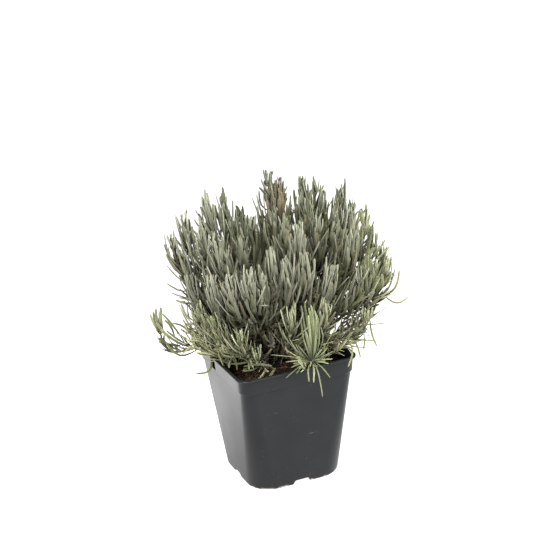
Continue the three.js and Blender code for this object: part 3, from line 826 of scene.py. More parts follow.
TOP_FROM = 225 * MM  # the shoots that end this high have the widest leaves
GREENER_FROM = 80 * MM  # the shoots that end this far right are as green as the low ones
LOW_WIDTH = 0.9  # as a share of a tuft's, like the next
TOP_WIDTH = 1.18
# Tints run from green at 0 to grey at 1. These are a tuft's, and what is taken off it.
TUFT_TINT = 0.56
LOOSE_GREEN = 0.3  # where a shoot is fully loose
LOW_GREEN = 0.05  # where it is low
RIGHT_GREEN = 0.24  # where it ends far right
# Painted light: the part of this slope for how far a shoot's end stands toward the front paints front shoots paler.
TINT_AND_FRONT_LIGHT_SLOPE = 4.0  # otherwise, for each metre that its foot stands further right or its end further back
SHOOT_TINT_SPREAD = 0.17


def is_greener(name, shoot):
    return name in LOW_SHOOTS or shoot["end"].dot(RIGHT) > GREENER_FROM


def middle_tint(name, shoot, loose):
    """The tint that the leaves of a shoot vary about."""
    if name in LOW_SHOOTS:
        green = LOW_GREEN
    elif is_greener(name, shoot):
        green = RIGHT_GREEN
    else:
        # Painted light: shoots that end nearer the front get a greyer, paler tint, as if lit from the front. The
        # slope to the right is the plant's own greener colour.
        green = TINT_AND_FRONT_LIGHT_SLOPE * shoot["rings"][0].x - TINT_AND_FRONT_LIGHT_SLOPE * shoot["end"].dot(FORWARD)
    return TUFT_TINT - LOOSE_GREEN * loose - green


def width_share(name, shoot):
    if name in LOW_SHOOTS:
        return LOW_WIDTH
    return TOP_WIDTH if shoot["end"].z > TOP_FROM else 1.0


print("shoots:", len(LOW_SHOOTS), "low,", len(FRESH_SHOOTS), "fresh and", len(FULLNESS), "thinned or thickened")

# %% [markdown]
# ## Shade inside the plant
# Light hardly reaches the inside of a dense tuft, the inside of the mound or the hollow over the peat. The real
# plant is fuller than this one, so the lamps alone leave these places too pale. Each point therefore carries a
# shade mark, the largest of three shares: how far it lies inside its tuft, the mound and the hollow. The leaf
# finish darkens by it. The marks follow the plant and not the camera, so they hold in every view.

# %% Shade
MOUND_MIDDLE = np.array([0.0, 0.0, 118 * MM])
TUFT_ENDS = np.array([shoot["end"] for name, shoot in shoots.items() if name not in LOW_SHOOTS])
ENVELOPE_SHARPNESS = 25.0
ENVELOPE_RISE = 12 * MM  # from the ends of the stems out to the tips of the leaves
MOUND_LIT = 7 * MM  # the depth of full light
MOUND_FADE = 31 * MM  # the further depth to full shade
TUFT_LIT = 7 * MM  # above the end of the stem
TUFT_FADE = 22 * MM
TUFT_RADIUS = 11 * MM
HOLLOW_TOP = 150 * MM
HOLLOW_FADE = 24 * MM
HOLLOW_RADIUS = 50 * MM
HOLLOW_EDGE = 14 * MM


def mound_shade(points):
    """How deep in the mound each point lies: 0 at the outer leaves and 1 far inside."""
    rays = TUFT_ENDS - MOUND_MIDDLE
    reach = np.linalg.norm(rays, axis=1)
    spokes = points - MOUND_MIDDLE
    distance = np.linalg.norm(spokes, axis=1)
    nearness = np.exp(ENVELOPE_SHARPNESS * (unit(spokes) @ unit(rays).T - 1))
    envelope = (nearness * reach).sum(1) / nearness.sum(1) + ENVELOPE_RISE
    return np.clip((envelope - distance - MOUND_LIT) / MOUND_FADE, 0, 1) ** 1.1


def tuft_shade(points, shoot):
    """How far inside its own tuft each point lies: most near the stem and below the tips."""
    axis = np.array((shoot["end"] - shoot["rings"][-3]).normalized())
    spokes = points - np.array(shoot["end"])
    height = spokes @ axis
    radius = np.linalg.norm(spokes - height[:, None] * axis, axis=1)
    return np.clip(1.1 - radius / TUFT_RADIUS, 0, 1) * np.clip((TUFT_LIT - height) / TUFT_FADE, 0, 1)


def hollow_shade(points):
    """How far each point lies inside the hollow over the peat: most low down and near the plant's middle."""
    radius = np.hypot(points[:, 0], points[:, 1])
    depth = np.clip((HOLLOW_TOP - points[:, 2]) / HOLLOW_FADE, 0, 1)
    return depth * np.clip((HOLLOW_RADIUS - radius) / HOLLOW_EDGE, 0, 1)


print("mound: its tufts end", round(float(np.linalg.norm(TUFT_ENDS - MOUND_MIDDLE, axis=1).mean()), 3), "m out")

# %% [markdown]
# ## The shoots
# Each shoot is one piece: its stem and all its leaves. It replaces its node of the model and wears the finish named
# for that node's slot, or the low leaves' finish where it is greener.
# The stem follows the model's rings. Only the sprig that leans out to the left sags a little more than the model's.

# %% Grow the shoots


def make_piece(name, points, faces, marks, finish, slot, *replaced):
    """A smooth piece with its marks and finish. It rides on the model's one body."""
    mesh = bpy.data.meshes.new(name)
    mesh.from_pydata(points.tolist(), [], faces)
    mesh.polygons.foreach_set("use_smooth", [True] * len(mesh.polygons))
    for column, mark in enumerate(MARKS):
        layer = mesh.attributes.new(mark, "FLOAT", "POINT")
        layer.data.foreach_set("value", marks[:, column].astype(np.float32))
    mesh.materials.append(finish)
    piece = bpy.data.objects.new(name, mesh)
    bpy.context.scene.collection.objects.link(piece)
    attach(piece, "root")
    if replaced:
        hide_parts(*replaced)
    return piece


def join_parts(parts):
    """One list of points, faces and marks out of several."""
    points, faces, marks = [], [], []
    first = 0
    for part_points, part_faces, part_marks in parts:
        points.append(part_points)
        marks.append(part_marks)
        faces += [tuple(corner + first for corner in face) for face in part_faces]
        first += len(part_points)
    return np.vstack(points), faces, np.vstack(marks)


def stem_part(shoot):
    path = smooth_path([*shoot["rings"], shoot["end"]], 3)
    share = np.linspace(0, 1, len(path))
    radii = STEM_RADII[0] + (STEM_RADII[1] - STEM_RADII[0]) * share
    radii[-1] = STEM_POINT
    marks = marks_of((len(path), STEM_SIDES), along=share[:, None], age=1 - share[:, None], wood=1.0)
    return tube_part(sweep_tube(path, radii, STEM_SIDES, RIB_RISE), marks)


def pushed(shoot, middle, end):
    """The shoot with its middle and its end pushed, and each leaf carried along with its ring."""
    count = len(shoot["rings"])

    def push(ring):
        share = ring / count
        swell = 4 * share * (1 - share)
        return (Vector(middle) * swell + Vector(end) * share ** 2) * MM

    rings = [centre + push(k) for k, centre in enumerate(shoot["rings"])]
    leaves = [{**leaf, "bend": leaf["bend"] + push(leaf["ring"]), "tip": leaf["tip"] + push(leaf["ring"])}
              for leaf in shoot["leaves"]]
    return {"rings": rings, "end": shoot["end"] + push(count), "leaves": leaves}


def grow_shoot(name, shoot):
    """One leafy shoot. Returns its piece and how many long and short leaves it has."""
    rng = np.random.default_rng(int(name[-2:]))
    slot = SLOTS[name]
    count = len(shoot["rings"])
    dryness = 0.75 if slot == "dry_leaf" else 0.12

    def age(ring):
        """How dry a leaf is: a little at random, more low down, and now and then a lot."""
        low = max(0.0, 0.5 - ring / count)
        years = rng.uniform() ** 2 * dryness + low * rng.uniform(0, 0.9) + (rng.uniform() > 0.95) * 0.5
        return float(np.clip(years, 0, 1))

    runs = leaf_runs(shoot)
    loose = LOOSENESS.get(name, float(np.clip(np.mean([run["loose"] for run in runs]) - 0.1, 0, 1)))
    tint = rng.normal(middle_tint(name, shoot, loose), SHOOT_TINT_SPREAD)
    slim = width_share(name, shoot)
    if name == SPRIG:
        long_leaves = placed_leaves(SPRIG_LEAVES, 0.1, 0.08, rng)
    else:
        long_leaves = model_leaves(shoot, runs, slim, age, tint, rng)
    size, full = LOW_SHOOTS.get(name, 1.0), FULLNESS.get(name, 1.0)
    long_leaves += added_pairs(shoot, loose, size, full, slim, age, tint, rng) + bud_leaves(shoot, tint, rng)
    short_leaves = axil_leaves(shoot, runs, age, tint, rng)
    parts = [stem_part(shoot), sweep_blades(long_leaves, LONG_STATIONS)]
    if short_leaves:
        parts.append(sweep_blades(short_leaves, SHORT_STATIONS, SLIM_TOP, SLIM_BACK))
    points, faces, marks = join_parts(parts)
    shade = np.maximum(tuft_shade(points, shoot), hollow_shade(points))
    if name not in LOW_SHOOTS:
        shade = np.maximum(shade, mound_shade(points))
    marks[:, MARKS.index("shade")] = shade
    finish = LEAF_FINISHES["low_leaf" if is_greener(name, shoot) else slot]
    piece = make_piece("leafy_" + name, points, faces, marks, finish, slot, name)
    return piece, len(long_leaves), len(short_leaves)


grown = []
for name, shoot in shoots.items():
    if name == SPRIG:
        shoot = pushed(shoot, *SPRIG_PUSH)
    if name not in FRESH_SHOOTS:
        grown.append(grow_shoot(name, shoot))
triangles = sum(sum(len(face.vertices) - 2 for face in piece.data.polygons) for piece, _, _ in grown)
longs, shorts = sum(count for _, count, _ in grown), sum(count for _, _, count in grown)
print("grew", longs, "long and", shorts, "short leaves,", triangles, "triangles")

# %% [markdown]
# ## The fresh sprig
# At the front, a young shoot holds its crown over the rim. Its leaves are fresh green and thin: a close bunch rises,
# a few part from it, a star of short ones stands out all round, and a few hang over the rim. The photograph shows
# most of them one by one, so they are drawn from the crown as listed, with small side shoots by rule between them.

# %% Grow the fresh sprig
FRESH_CROWN = Vector((11, -53, 117)) * MM
FRESH_SEED = 51
# Where the drawn leaves bend and end, in millimetres right, toward the camera and up from the crown.
RISING = [
    ((-5, 3, 30), (-7, 1, 50)), ((-1, 5, 32), (-4, 3, 53)), ((2, 6, 32), (0, 4, 49)), ((5, 5, 34), (2, 3, 51)),
    ((8, 4, 30), (4, 3, 46)), ((10, 3, 26), (6, 2, 42)), ((13, 2, 18), (9, 2, 32)), ((-6, 5, 20), (-8, 4, 40)),
    ((0, 8, 22), (-1, 7, 44)), ((4, 8, 20), (5, 7, 39)), ((8, 6, 16), (9, 5, 35)), ((-3, -3, 24), (-6, -3, 46)),
    ((3, -3, 26), (2, -4, 48)), ((8, -2, 24), (8, -3, 43)), ((-3, 8, 14), (-4, 8, 30)), ((2, 9, 12), (4, 9, 26)),
]
PARTING = [
    ((12, 4, 14), (20, 4, 31)), ((-13, 4, 10), (-18, 4, 23)), ((-9, 5, 8), (-13, 6, 18)),
    ((-15, 3, 12), (-24, 3, 29)),
]
STAR = [
    ((-17, 6, 8), (-34, 6, 9)), ((-12, 6, 6), (-23, 6, 13)), ((-11, 8, 5), (-22, 9, 4)),
    ((-8, 9, 3), (-14, 12, -6)), ((-5, 7, 10), (-11, 7, 17)), ((-3, 8, 12), (-6, 8, 22)),
    ((9, 8, 4), (17, 9, 4)), ((9, 6, 6), (18, 6, 9)), ((7, 7, 7), (14, 7, 13)),
    ((7, 9, 3), (13, 11, 0)), ((-9, 10, 4), (-18, 12, 0)), ((4, 9, 8), (8, 10, 14)),
]
HANGING = [
    ((-4, 12, -2), (-4, 18, -11)), ((0, 12, -2), (0, 20, -11)), ((-10, 9, 1), (-22, 12, -10)),
    ((7, 14, 2), (14, 22, -7)), ((5, 17, 1), (6, 24, -23)),
]
SIDE_SHOOTS = 7
SIDE_LEAVES = 7  # on each side shoot
SIDE_LOOK = (1.4 * MM, 0.15, 0.55, 0.5)  # width, age, tint and rise of such a leaf
SIDE_LOOSENESS = 0.8
# The back of the sprig lies in its own shade, from this far in front of its crown and over this depth.
FRONT_LIT = 6 * MM
FRONT_FADE = 10 * MM
FRESH_SHADE = 0.65


def drawn_leaves(runs, width, tint, rng):
    """Leaves from the crown through a bend to a tip."""
    leaves = []
    for bend, tip in runs:
        outward = facing(bend[0] + 0.5, bend[1], 0)
        root = FRESH_CROWN + outward.normalized() * 1.2 * MM
        across = outward.cross(UP).normalized()
        ends = (FRESH_CROWN + facing(*bend), FRESH_CROWN + facing(*tip))
        leaves.append(new_leaf(root, *ends, across, outward, rng, width, 0.05, tint, PLACED_BOW))
    return leaves


def rising_leaves(rng):
    """The long leaves that rise from the crown in a close bunch, and those that part from it."""
    return drawn_leaves(RISING, 1.9 * MM, 0.45, rng) + drawn_leaves(PARTING, 1.7 * MM, 0.5, rng)


def radiating_leaves(rng):
    """The side shoots round the crown, with short leaves, and the leaves that hang and stand out from it."""
    leaves = []
    for side_shoot in range(SIDE_SHOOTS):
        heading = turned_outward(UP, side_shoot * GOLDEN_TURN + 0.6)
        reach = rng.uniform(3, 12) * MM
        root = FRESH_CROWN + heading * reach + UP * rng.uniform(-2, 2) * MM
        along = (heading + UP * 0.6).normalized()
        for k in range(SIDE_LEAVES):
            outward = turned_outward(along, k * GOLDEN_TURN)
            opening = rng.uniform(0.3, 1.1)
            length = rng.uniform(6, 14) * MM
            leaves.append(bent_leaf(root, along, outward, length, opening, SIDE_LOOSENESS, rng, *SIDE_LOOK))
    leaves += drawn_leaves(HANGING, 1.3 * MM, 0.7, rng)
    return leaves + drawn_leaves(STAR, 1.6 * MM, 0.55, rng)


def grow_fresh(name, shoot, leaves):
    """One half of the fresh sprig: a stem from the shoot's foot to the crown over the rim, and its leaves."""
    foot = shoot["rings"][0]
    middle = foot.lerp(FRESH_CROWN, 0.5) + UP * 2 * MM
    stem = {"rings": [foot, middle, FRESH_CROWN], "end": FRESH_CROWN + UP * 8 * MM}
    points, faces, marks = join_parts([stem_part(stem), sweep_blades(leaves, LONG_STATIONS)])
    nearness = (points - np.array(FRESH_CROWN)) @ np.array(FORWARD)
    marks[:, MARKS.index("shade")] = np.clip((FRONT_LIT - nearness) / FRONT_FADE, 0, 1) * FRESH_SHADE
    return make_piece("leafy_" + name, points, faces, marks, LEAF_FINISHES["young_leaf"], SLOTS[name], name)


fresh_rng = np.random.default_rng(FRESH_SEED)
fresh_leaves = [rising_leaves(fresh_rng), radiating_leaves(fresh_rng)]
for name, leaves in zip(FRESH_SHOOTS, fresh_leaves):
    grow_fresh(name, shoots[name], leaves)
print("fresh sprig:", sum(len(leaves) for leaves in fresh_leaves), "leaves")

# %% [markdown]
# ## The pot
# Such a pot is moulded from thin polypropylene. Its walls taper to the foot and its corners grow rounder on the way
# down. A rim band stands out at the top and ends in a lip. The model's pot has the right shape, but its corners are
# faceted, so a finer one with the same sizes replaces it: rings of points are lofted from under the floor plate,
# over the foot, up the wall, over the lip and down inside. Notches and holes are then cut as Booleans.

# %% Pot sizes
# All in millimetres.
POT_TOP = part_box("pot")[1]
POT_HEIGHT = POT_TOP.z / MM
LIP_HALF = POT_TOP.x / MM
WALL_TOP_HALF = LIP_HALF - 4.1
FOOT_HALF = LIP_HALF - 12.4
BAND_BOTTOM = POT_HEIGHT - 14.5
PLATE_TOP = 6.4
WALL = 1.3
CORNER_TOP = 9.5
CORNER_FOOT = 23.0
WALL_BOW = 0.8  # how far the filling pushes the middle of each thin wall out
ROUNDEST = 0.98  # the largest corner radius, as a share of the half width


def rounded_square(half, radius, z, corner_steps=14, side_steps=12, bow=0.0):
    """Points of a square with round corners, in millimetres. Its sides may bow out by a few tenths."""
    radius = min(radius, half * ROUNDEST)
    ring = []
    for corner in range(4):
        turn = math.radians(90 * corner)
        centre = Vector((half - radius, half - radius))
        angles = np.linspace(0, math.pi / 2, corner_steps + 1)
        arc = [centre + Vector((math.cos(a), math.sin(a))) * radius for a in angles]
        side_end = Vector((-(half - radius), half))
        shares = [k / side_steps for k in range(1, side_steps)]
        points = arc + [arc[-1].lerp(side_end, s) + Vector((0, 4 * s * (1 - s) * bow)) for s in shares]
        for point in points:
            ring.append(Vector((*(Matrix.Rotation(turn, 2) @ point), z)))
    return ring


def wall_half(z):
    return FOOT_HALF + (WALL_TOP_HALF - FOOT_HALF) * z / BAND_BOTTOM


def wall_corner(z):
    return CORNER_FOOT + (CORNER_TOP - CORNER_FOOT) * z / BAND_BOTTOM


def wall_ring(z, inset=0.0):
    bow = WALL_BOW * math.sin(math.pi * min(max(z / BAND_BOTTOM, 0), 1)) ** 0.6
    return rounded_square(wall_half(z) - inset, wall_corner(z) - inset, z, bow=bow)


# %% Pot rings
FOOT_EDGE = [(0.0, 0.9), (0.2, 0.55), (0.8, 0.2), (1.8, 0.03)]  # height, and inset from the wall
BAND_STEP = [  # height over the band's bottom, and outset from the wall
    (-0.25, 0.02), (0.0, 0.12), (0.22, 0.45), (0.42, 0.95), (0.7, 1.15), (1.1, 1.2),
]
LIP_OUTSIDE = [  # depth under the pot's top, and inset from the lip's edge
    (3.4, 2.2), (2.9, 2.1), (2.2, 1.2), (1.8, 0.35), (1.4, 0.06), (0.6, 0.0), (0.25, 0.12), (0.05, 0.45), (0.0, 0.9),
]
LIP_INSIDE = [(0.0, 2.3), (0.12, 2.9), (0.5, 3.3), (1.5, 3.5)]  # the same
PLATE_HALVES = (26, 12, 2)  # rings on the floor plate, from its edge to its middle


def outer_rings():
    """From the edge of the foot, up the wall and the rim band to the top of the lip."""
    rings = [rounded_square(wall_half(z) - inset, wall_corner(z) - inset, z) for z, inset in FOOT_EDGE]
    rings += [wall_ring(z) for z in np.linspace(3, BAND_BOTTOM - 0.6, 14)]
    for z, out in BAND_STEP:
        rings.append(rounded_square(WALL_TOP_HALF + out, CORNER_TOP + out * 0.7, BAND_BOTTOM + z))
    for down, inset in LIP_OUTSIDE:
        rings.append(rounded_square(LIP_HALF - inset, CORNER_TOP + 1.8 - inset * 0.4, POT_HEIGHT - down))
    return rings


def inner_rings():
    """From the top of the lip down the inside to the middle of the floor plate."""
    rings = [rounded_square(LIP_HALF - inset, CORNER_TOP, POT_HEIGHT - down) for down, inset in LIP_INSIDE]
    rings.append(rounded_square(WALL_TOP_HALF + 1.2 - WALL, CORNER_TOP - 0.4, BAND_BOTTOM + 1.2))
    rings += [wall_ring(z, WALL) for z in np.linspace(BAND_BOTTOM, PLATE_TOP + 2, 8)]
    rings += [wall_ring(PLATE_TOP + 0.6, WALL + 0.4), wall_ring(PLATE_TOP, WALL + 2)]
    return rings + [rounded_square(half, half * 0.6, PLATE_TOP) for half in PLATE_HALVES]


def under_rings():
    """From the middle of the plate's underside, out to the skirt and down to the edge of the foot."""
    under = PLATE_TOP - WALL
    rings = [rounded_square(half, half * 0.6, under) for half in reversed(PLATE_HALVES)]
    skirt = [(under, 2.4), (under - 0.6, 1.9), (0.4, 2.3), (0.0, 2.1)]
    return rings + [wall_ring(z, inset) for z, inset in skirt]


print("pot:", round(POT_HEIGHT, 1), "mm high,", round(2 * LIP_HALF, 1), "mm across the lip")

# %% Pot mesh
# Outlines in millimetres. The notches are seen from the front, and the slot from above.
NOTCH = [(-8.9, -1.5), (8.9, -1.5), (6.4, 3.6), (5.4, 4.1), (-5.4, 4.1), (-6.4, 3.6)]
NOTCH_FROM = 30  # from the pot's axis
NOTCH_DEPTH = 20
DRAINS = [(24, 24, 4), (-24, 24, 4), (-24, -24, 4), (24, -24, 4), (0, 0, 5)]  # place and radius
DRAIN_SIDES = 28
DRAIN_DEPTH = 8
SLOT = [(-57, 10), (-49, 10), (-49, 18), (-57, 18)]
SLOT_BOTTOM = 98.1
SLOT_DEPTH = 10.6


def loft_mesh(name, rings):
    """A closed mesh through rings that hold the same number of points, given in millimetres."""
    count = len(rings[0])
    points = np.array([point for ring in rings for point in ring]) * MM
    mesh = bpy.data.meshes.new(name)
    mesh.from_pydata(points.tolist(), [], tube_faces(0, len(rings), count))
    return mesh


def cutter(name, outline, depth, turn):
    """A prism: an outline in millimetres, run through a depth and set in place by a matrix."""
    rings = [[Vector((x, y, z)) for x, y in outline] for z in (0, depth)]
    mesh = loft_mesh(name, rings)
    mesh.transform(turn)
    block = bpy.data.objects.new(name, mesh)
    bpy.context.scene.collection.objects.link(block)
    return block


def pot_cutters():
    """Blocks for four notches in the foot, five drain holes in the plate and the slot in the rim."""
    cutters = []
    upright = Matrix.Rotation(math.pi / 2, 4, "X")
    for side in range(4):
        out = Matrix.Translation((0, -NOTCH_FROM * MM, 0))
        place = Matrix.Rotation(side * math.pi / 2, 4, "Z") @ out @ upright
        cutters.append(cutter("notch", NOTCH, NOTCH_DEPTH, place))
    circle = [(math.cos(a), math.sin(a)) for a in np.linspace(0, math.tau, DRAIN_SIDES, endpoint=False)]
    for x, y, radius in DRAINS:
        hole = [(x + radius * c, y + radius * s) for c, s in circle]
        cutters.append(cutter("drain", hole, DRAIN_DEPTH, Matrix.Translation((0, 0, 1 * MM))))
    cutters.append(cutter("label_slot", SLOT, SLOT_DEPTH, Matrix.Translation((0, 0, SLOT_BOTTOM * MM))))
    return cutters


def cut(target, cutters):
    """Takes all the cutters out of the target's mesh and deletes them."""
    for block in cutters:
        modifier = target.modifiers.new("cut", "BOOLEAN")
        modifier.operation = "DIFFERENCE"
        modifier.solver = "EXACT"
        modifier.object = block
    bpy.context.view_layer.update()
    graph = bpy.context.evaluated_depsgraph_get()
    result = bpy.data.meshes.new_from_object(target.evaluated_get(graph))
    target.modifiers.clear()
    target.data = result
    for block in cutters:
        bpy.data.objects.remove(block)


# %% [markdown]
# ## Pot plastic
# Recycled black polypropylene looks charcoal and has a satin skin. Handling leaves fine pale scratches, the foot is
# rubbed paler, and a little dust sits near the ground. The skin has a faint ripple from the mould.

# %% Pot finish
CHARCOAL = (rgb(14, 15, 16), rgb(20, 21, 22))
RUBBED = rgb(138, 136, 128)
DUST = rgb(112, 106, 94)


def pot_finish():
    finish = Finish("charcoal_plastic")
    height = finish.add("ShaderNodeSeparateXYZ", {}, {0: finish.place()}, "Z")
    cloud = finish.noise(22.0, detail=2.0)
    grain = finish.noise(0.5, detail=2.0)
    long_scratch = finish.noise(1.1, scale=(0.12, 0.12, 1.6), detail=2.0, warp=0.6).ramp(0.7, 0.78)
    speck = finish.noise(1.7, detail=1.0).ramp(0.76, 0.8)
    patch = finish.noise(14.0, detail=1.0).ramp(0.5, 0.68)
    scuff = (long_scratch * patch + speck * patch).clamp()
    foot = (1 - height.ramp(0.8, 2.4)) * finish.noise(6.0).ramp(0.42, 0.56)
    low = 1 - height.ramp(4.0, 36.0)
    dust = finish.noise(0.9, detail=3.0, rough=0.7).ramp(0.6, 0.72) * low
    colour = finish.mix(cloud, *CHARCOAL)
    colour = finish.mix((scuff * 0.4 + foot * 0.8).clamp(), colour, RUBBED)
    colour = finish.mix(dust * 0.2, colour, DUST)
    roughness = 0.36 + (cloud - 0.5) * 0.1 + scuff * 0.2 + dust * 0.15 + foot * 0.2
    normal = finish.bump(grain * 0.5 + cloud * 2 - scuff * 0.6, 0.05, 0.7)
    return finish.close(Base_Color=colour, Roughness=roughness.clamp(), Normal=normal, Specular_IOR_Level=0.192)


def add_pot():
    mesh = loft_mesh("nursery_pot", under_rings() + outer_rings() + inner_rings())
    piece = bpy.data.objects.new("nursery_pot", mesh)
    bpy.context.scene.collection.objects.link(piece)
    cut(piece, pot_cutters())
    piece.data.polygons.foreach_set("use_smooth", [True] * len(piece.data.polygons))
    piece.data.set_sharp_from_angle(angle=math.radians(40))
    piece.data.materials.clear()
    piece.data.materials.append(pot_finish())
    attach(piece, "root")
    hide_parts("pot")
    return piece


pot = add_pot()
print("pot:", len(pot.data.polygons), "faces")

# %% [markdown]
# ## The wood
# Old lavender stems are thin, crooked and grooved, with a knot wherever a twig leaves. The model gives where each
# shoot starts. From there the same rule as the model's leads back to the crown in the middle of the pot: a main stem
# for each branch of shoots, and a twig that leaves it for each shoot.

# %% Grow the wood
BRANCH_SIZES = (5, 4, 5, 4, 5, 4, 4, 3, 3, 4, 5, 6, 3, 2)  # how many shoots each main stem carries, in order
SOIL_LEVEL = 103.5 * MM
CROWN_RADIUS = 7.5  # where the main stems leave the crown, in millimetres
# Radii from start to end, in millimetres.
TRUNK_RADII = (3.0, 2.4, 2.2, 1.9, 1.5, 1.35)
TWIG_END_RADII = (1.5, 1.7, 1.5, 1.3)
CROWN_RADII = (2, 6, 9.5, 9, 5)
CROWN_HEIGHTS = (36, 70, 92, 102, 107)  # over the table, in millimetres
WANDER = 0.5  # how far a stem strays from its path, in millimetres
WANDER_GRAIN = 90
KNOT_FROM = 0.82  # a draw above this makes a knot
KNOT_RISE = 0.22  # as a share of the radius, like the next
GROOVE_DEPTH = 0.16
WOOD_SEED = 100


def branch_points(feet):
    """Where a main stem starts, bends and forks, from the feet of its shoots, by the model's own rule."""
    middle = sum(feet, Vector()) / len(feet)
    start = Vector((middle.x, middle.y, 0)).normalized() * CROWN_RADIUS * MM
    start.z = SOIL_LEVEL + 2 * MM
    fork = start.lerp(middle, 0.64)
    fork.z = (SOIL_LEVEL + 3 * MM) * 0.45 + middle.z * 0.55
    bend = start.lerp(fork, 0.28)
    bend.z = start.z + (fork.z - start.z) * 0.36
    return start, bend, fork


def bark_tube(points, radii, rng, sides=10, steps=6):
    """A crooked, grooved tube with knots, as points, faces and marks."""
    path = smooth_path(points, steps)
    radii = np.interp(np.linspace(0, 1, len(path)), np.linspace(0, 1, len(radii)), radii)
    wander = np.array([noise.noise_vector(Vector(point) * WANDER_GRAIN) for point in path]) * WANDER * MM
    ends = np.minimum(np.arange(len(path)), np.arange(len(path))[::-1]) / 3
    path = path + wander * np.clip(ends, 0, 1)[:, None]
    knots = 1 + KNOT_RISE * (rng.uniform(size=len(path)) > KNOT_FROM)
    tube = sweep_tube(path, radii * knots, sides)
    grooves = 1 + GROOVE_DEPTH * np.sin(np.arange(sides) * 2.4 + rng.uniform(0, 6))[None, :, None]
    tube = path[:, None] + (tube - path[:, None]) * grooves
    share = np.linspace(0, 1, len(path))
    marks = marks_of((len(path), sides), along=share[:, None], tint=rng.uniform(), wood=1.0)
    return tube_part(tube, marks)


def branch_parts(feet, aims, rng):
    """A main stem that runs on into one of its shoots, and a twig from it to each of the others."""
    start, bend, fork = branch_points(feet)
    rise = (fork - bend).normalized()
    order = sorted(range(len(feet)), key=lambda i: (feet[i] - fork).normalized().dot(rise))
    below = Vector((start.x * 0.3, start.y * 0.3, SOIL_LEVEL - 9 * MM))
    last = order[-1]
    before = feet[last] - aims[last] * (feet[last] - fork).length * 0.35
    trunk = [below, start, bend, fork, before, feet[last]]
    parts = [bark_tube(trunk, np.array(TRUNK_RADII) * MM, rng)]
    for k, i in enumerate(order[:-1]):
        station = bend.lerp(fork, (k + 1) / len(order))
        before = feet[i] - aims[i] * (feet[i] - station).length * 0.4
        twig = [station - rise * 2 * MM, station, before, feet[i]]
        parts.append(bark_tube(twig, np.array(TWIG_END_RADII) * MM, rng))
    return parts


def wood_finish():
    finish = Finish("lavender_bark")
    tint = finish.mark("tint")
    strip = finish.noise(1.5, scale=(1.0, 1.0, 0.22), detail=4.0)
    flake = finish.noise(3.4, detail=4.0, rough=0.7)
    colour = finish.mix((strip + (tint - 0.5) * 0.5).clamp(), rgb(30, 23, 17), rgb(76, 63, 48))
    colour = finish.mix(flake.ramp(0.55, 0.72) * 0.5, colour, rgb(98, 86, 68))
    roughness = 0.86 + (flake - 0.5) * 0.15
    normal = finish.bump(strip * 0.7 + flake * 0.5, 0.5, 0.9)
    return finish.close(Base_Color=colour, Roughness=roughness, Normal=normal, Specular_IOR_Level=0.2)


def add_wood():
    rng = np.random.default_rng(WOOD_SEED)
    noise.seed_set(WOOD_SEED)  # without this, Blender's vector noise starts from the clock
    names = sorted(shoots)
    parts = []
    first = 0
    for size in BRANCH_SIZES:
        group = [shoots[name]["rings"] for name in names[first : first + size]]
        aims = [(rings[1] - rings[0]).normalized() for rings in group]
        parts += branch_parts([rings[0] for rings in group], aims, rng)
        first += size
    crown = [Vector((0, 0, z * MM)) for z in CROWN_HEIGHTS]
    parts.append(bark_tube(crown, np.array(CROWN_RADII) * MM, rng, sides=20))
    return make_piece("woody_stems_bark", *join_parts(parts), wood_finish(), SLOTS["woody_stems"], "woody_stems")


wood = add_wood()
print("wood:", len(wood.data.polygons), "faces")

# %% [markdown]
# ## Peat
# The compost is dark brown peat with coarse fibres, crumbs and chips of reddish bark. A rippled surface with a skirt
# fills the pot, and thousands of loose bits lie on it: crumbs as small lumps, chips as broken slabs and fibres as
# thin bent threads.

# %% Soil body
SOIL_HALF = WALL_TOP_HALF - WALL - 0.3
SOIL_STEPS = {"corner_steps": 10, "side_steps": 30}


def soil_height(x, y):
    """The height of the peat at a place, all in millimetres: low at the wall and heaped in the middle."""
    edge = max(abs(x), abs(y)) / SOIL_HALF
    place = Vector((x, y, 0))
    clods = noise.fractal(place / 9, 1.0, 2.0, 3) * 1.5
    crumbs = noise.fractal(place / 2.6 + Vector((7, 3, 0)), 1.0, 2.0, 2) * 0.8
    return SOIL_LEVEL / MM + 0.6 - 1.6 * edge ** 4 + clods + crumbs


def soil_rings():
    rings = []
    for share in np.linspace(0.02, 1.0, 46):
        half = SOIL_HALF * share
        flat = rounded_square(half, max(half * 0.2, CORNER_TOP - WALL), 0, **SOIL_STEPS)
        rings.append([Vector((point.x, point.y, soil_height(point.x, point.y))) for point in flat])
    for z in (BAND_BOTTOM - 1, 60, PLATE_TOP + 1):
        inset = WALL + 0.4
        rings.append(rounded_square(wall_half(z) - inset, wall_corner(z) - inset, z, **SOIL_STEPS))
    rings.append(rounded_square(4, 2, PLATE_TOP + 1, **SOIL_STEPS))
    return list(reversed(rings))


def soil_finish():
    finish = Finish("dark_peat")
    clod = finish.noise(5.0, detail=5.0, rough=0.65)
    crumb = finish.noise(0.9, detail=4.0, rough=0.7)
    fibre = finish.noise(1.2, scale=(1.0, 0.25, 1.0), detail=3.0, warp=1.5).ramp(0.55, 0.7)
    colour = finish.mix(clod, rgb(8, 6, 4), rgb(24, 17, 12))
    colour = finish.mix(fibre * 0.4, colour, rgb(48, 33, 22))
    colour = finish.mix(crumb.ramp(0.6, 0.8) * 0.5, colour, rgb(8, 6, 4))
    normal = finish.bump(clod + crumb * 0.6 + fibre * 0.3, 0.9, 1.0)
    return finish.close(Base_Color=colour, Roughness=0.95 - fibre * 0.1, Normal=normal, Specular_IOR_Level=0.1)


def add_soil():
    mesh = loft_mesh("peat", soil_rings())
    mesh.polygons.foreach_set("use_smooth", [True] * len(mesh.polygons))
    mesh.materials.append(soil_finish())
    piece = bpy.data.objects.new("peat", mesh)
    bpy.context.scene.collection.objects.link(piece)
    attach(piece, "root")
    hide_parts("soil")
    return piece


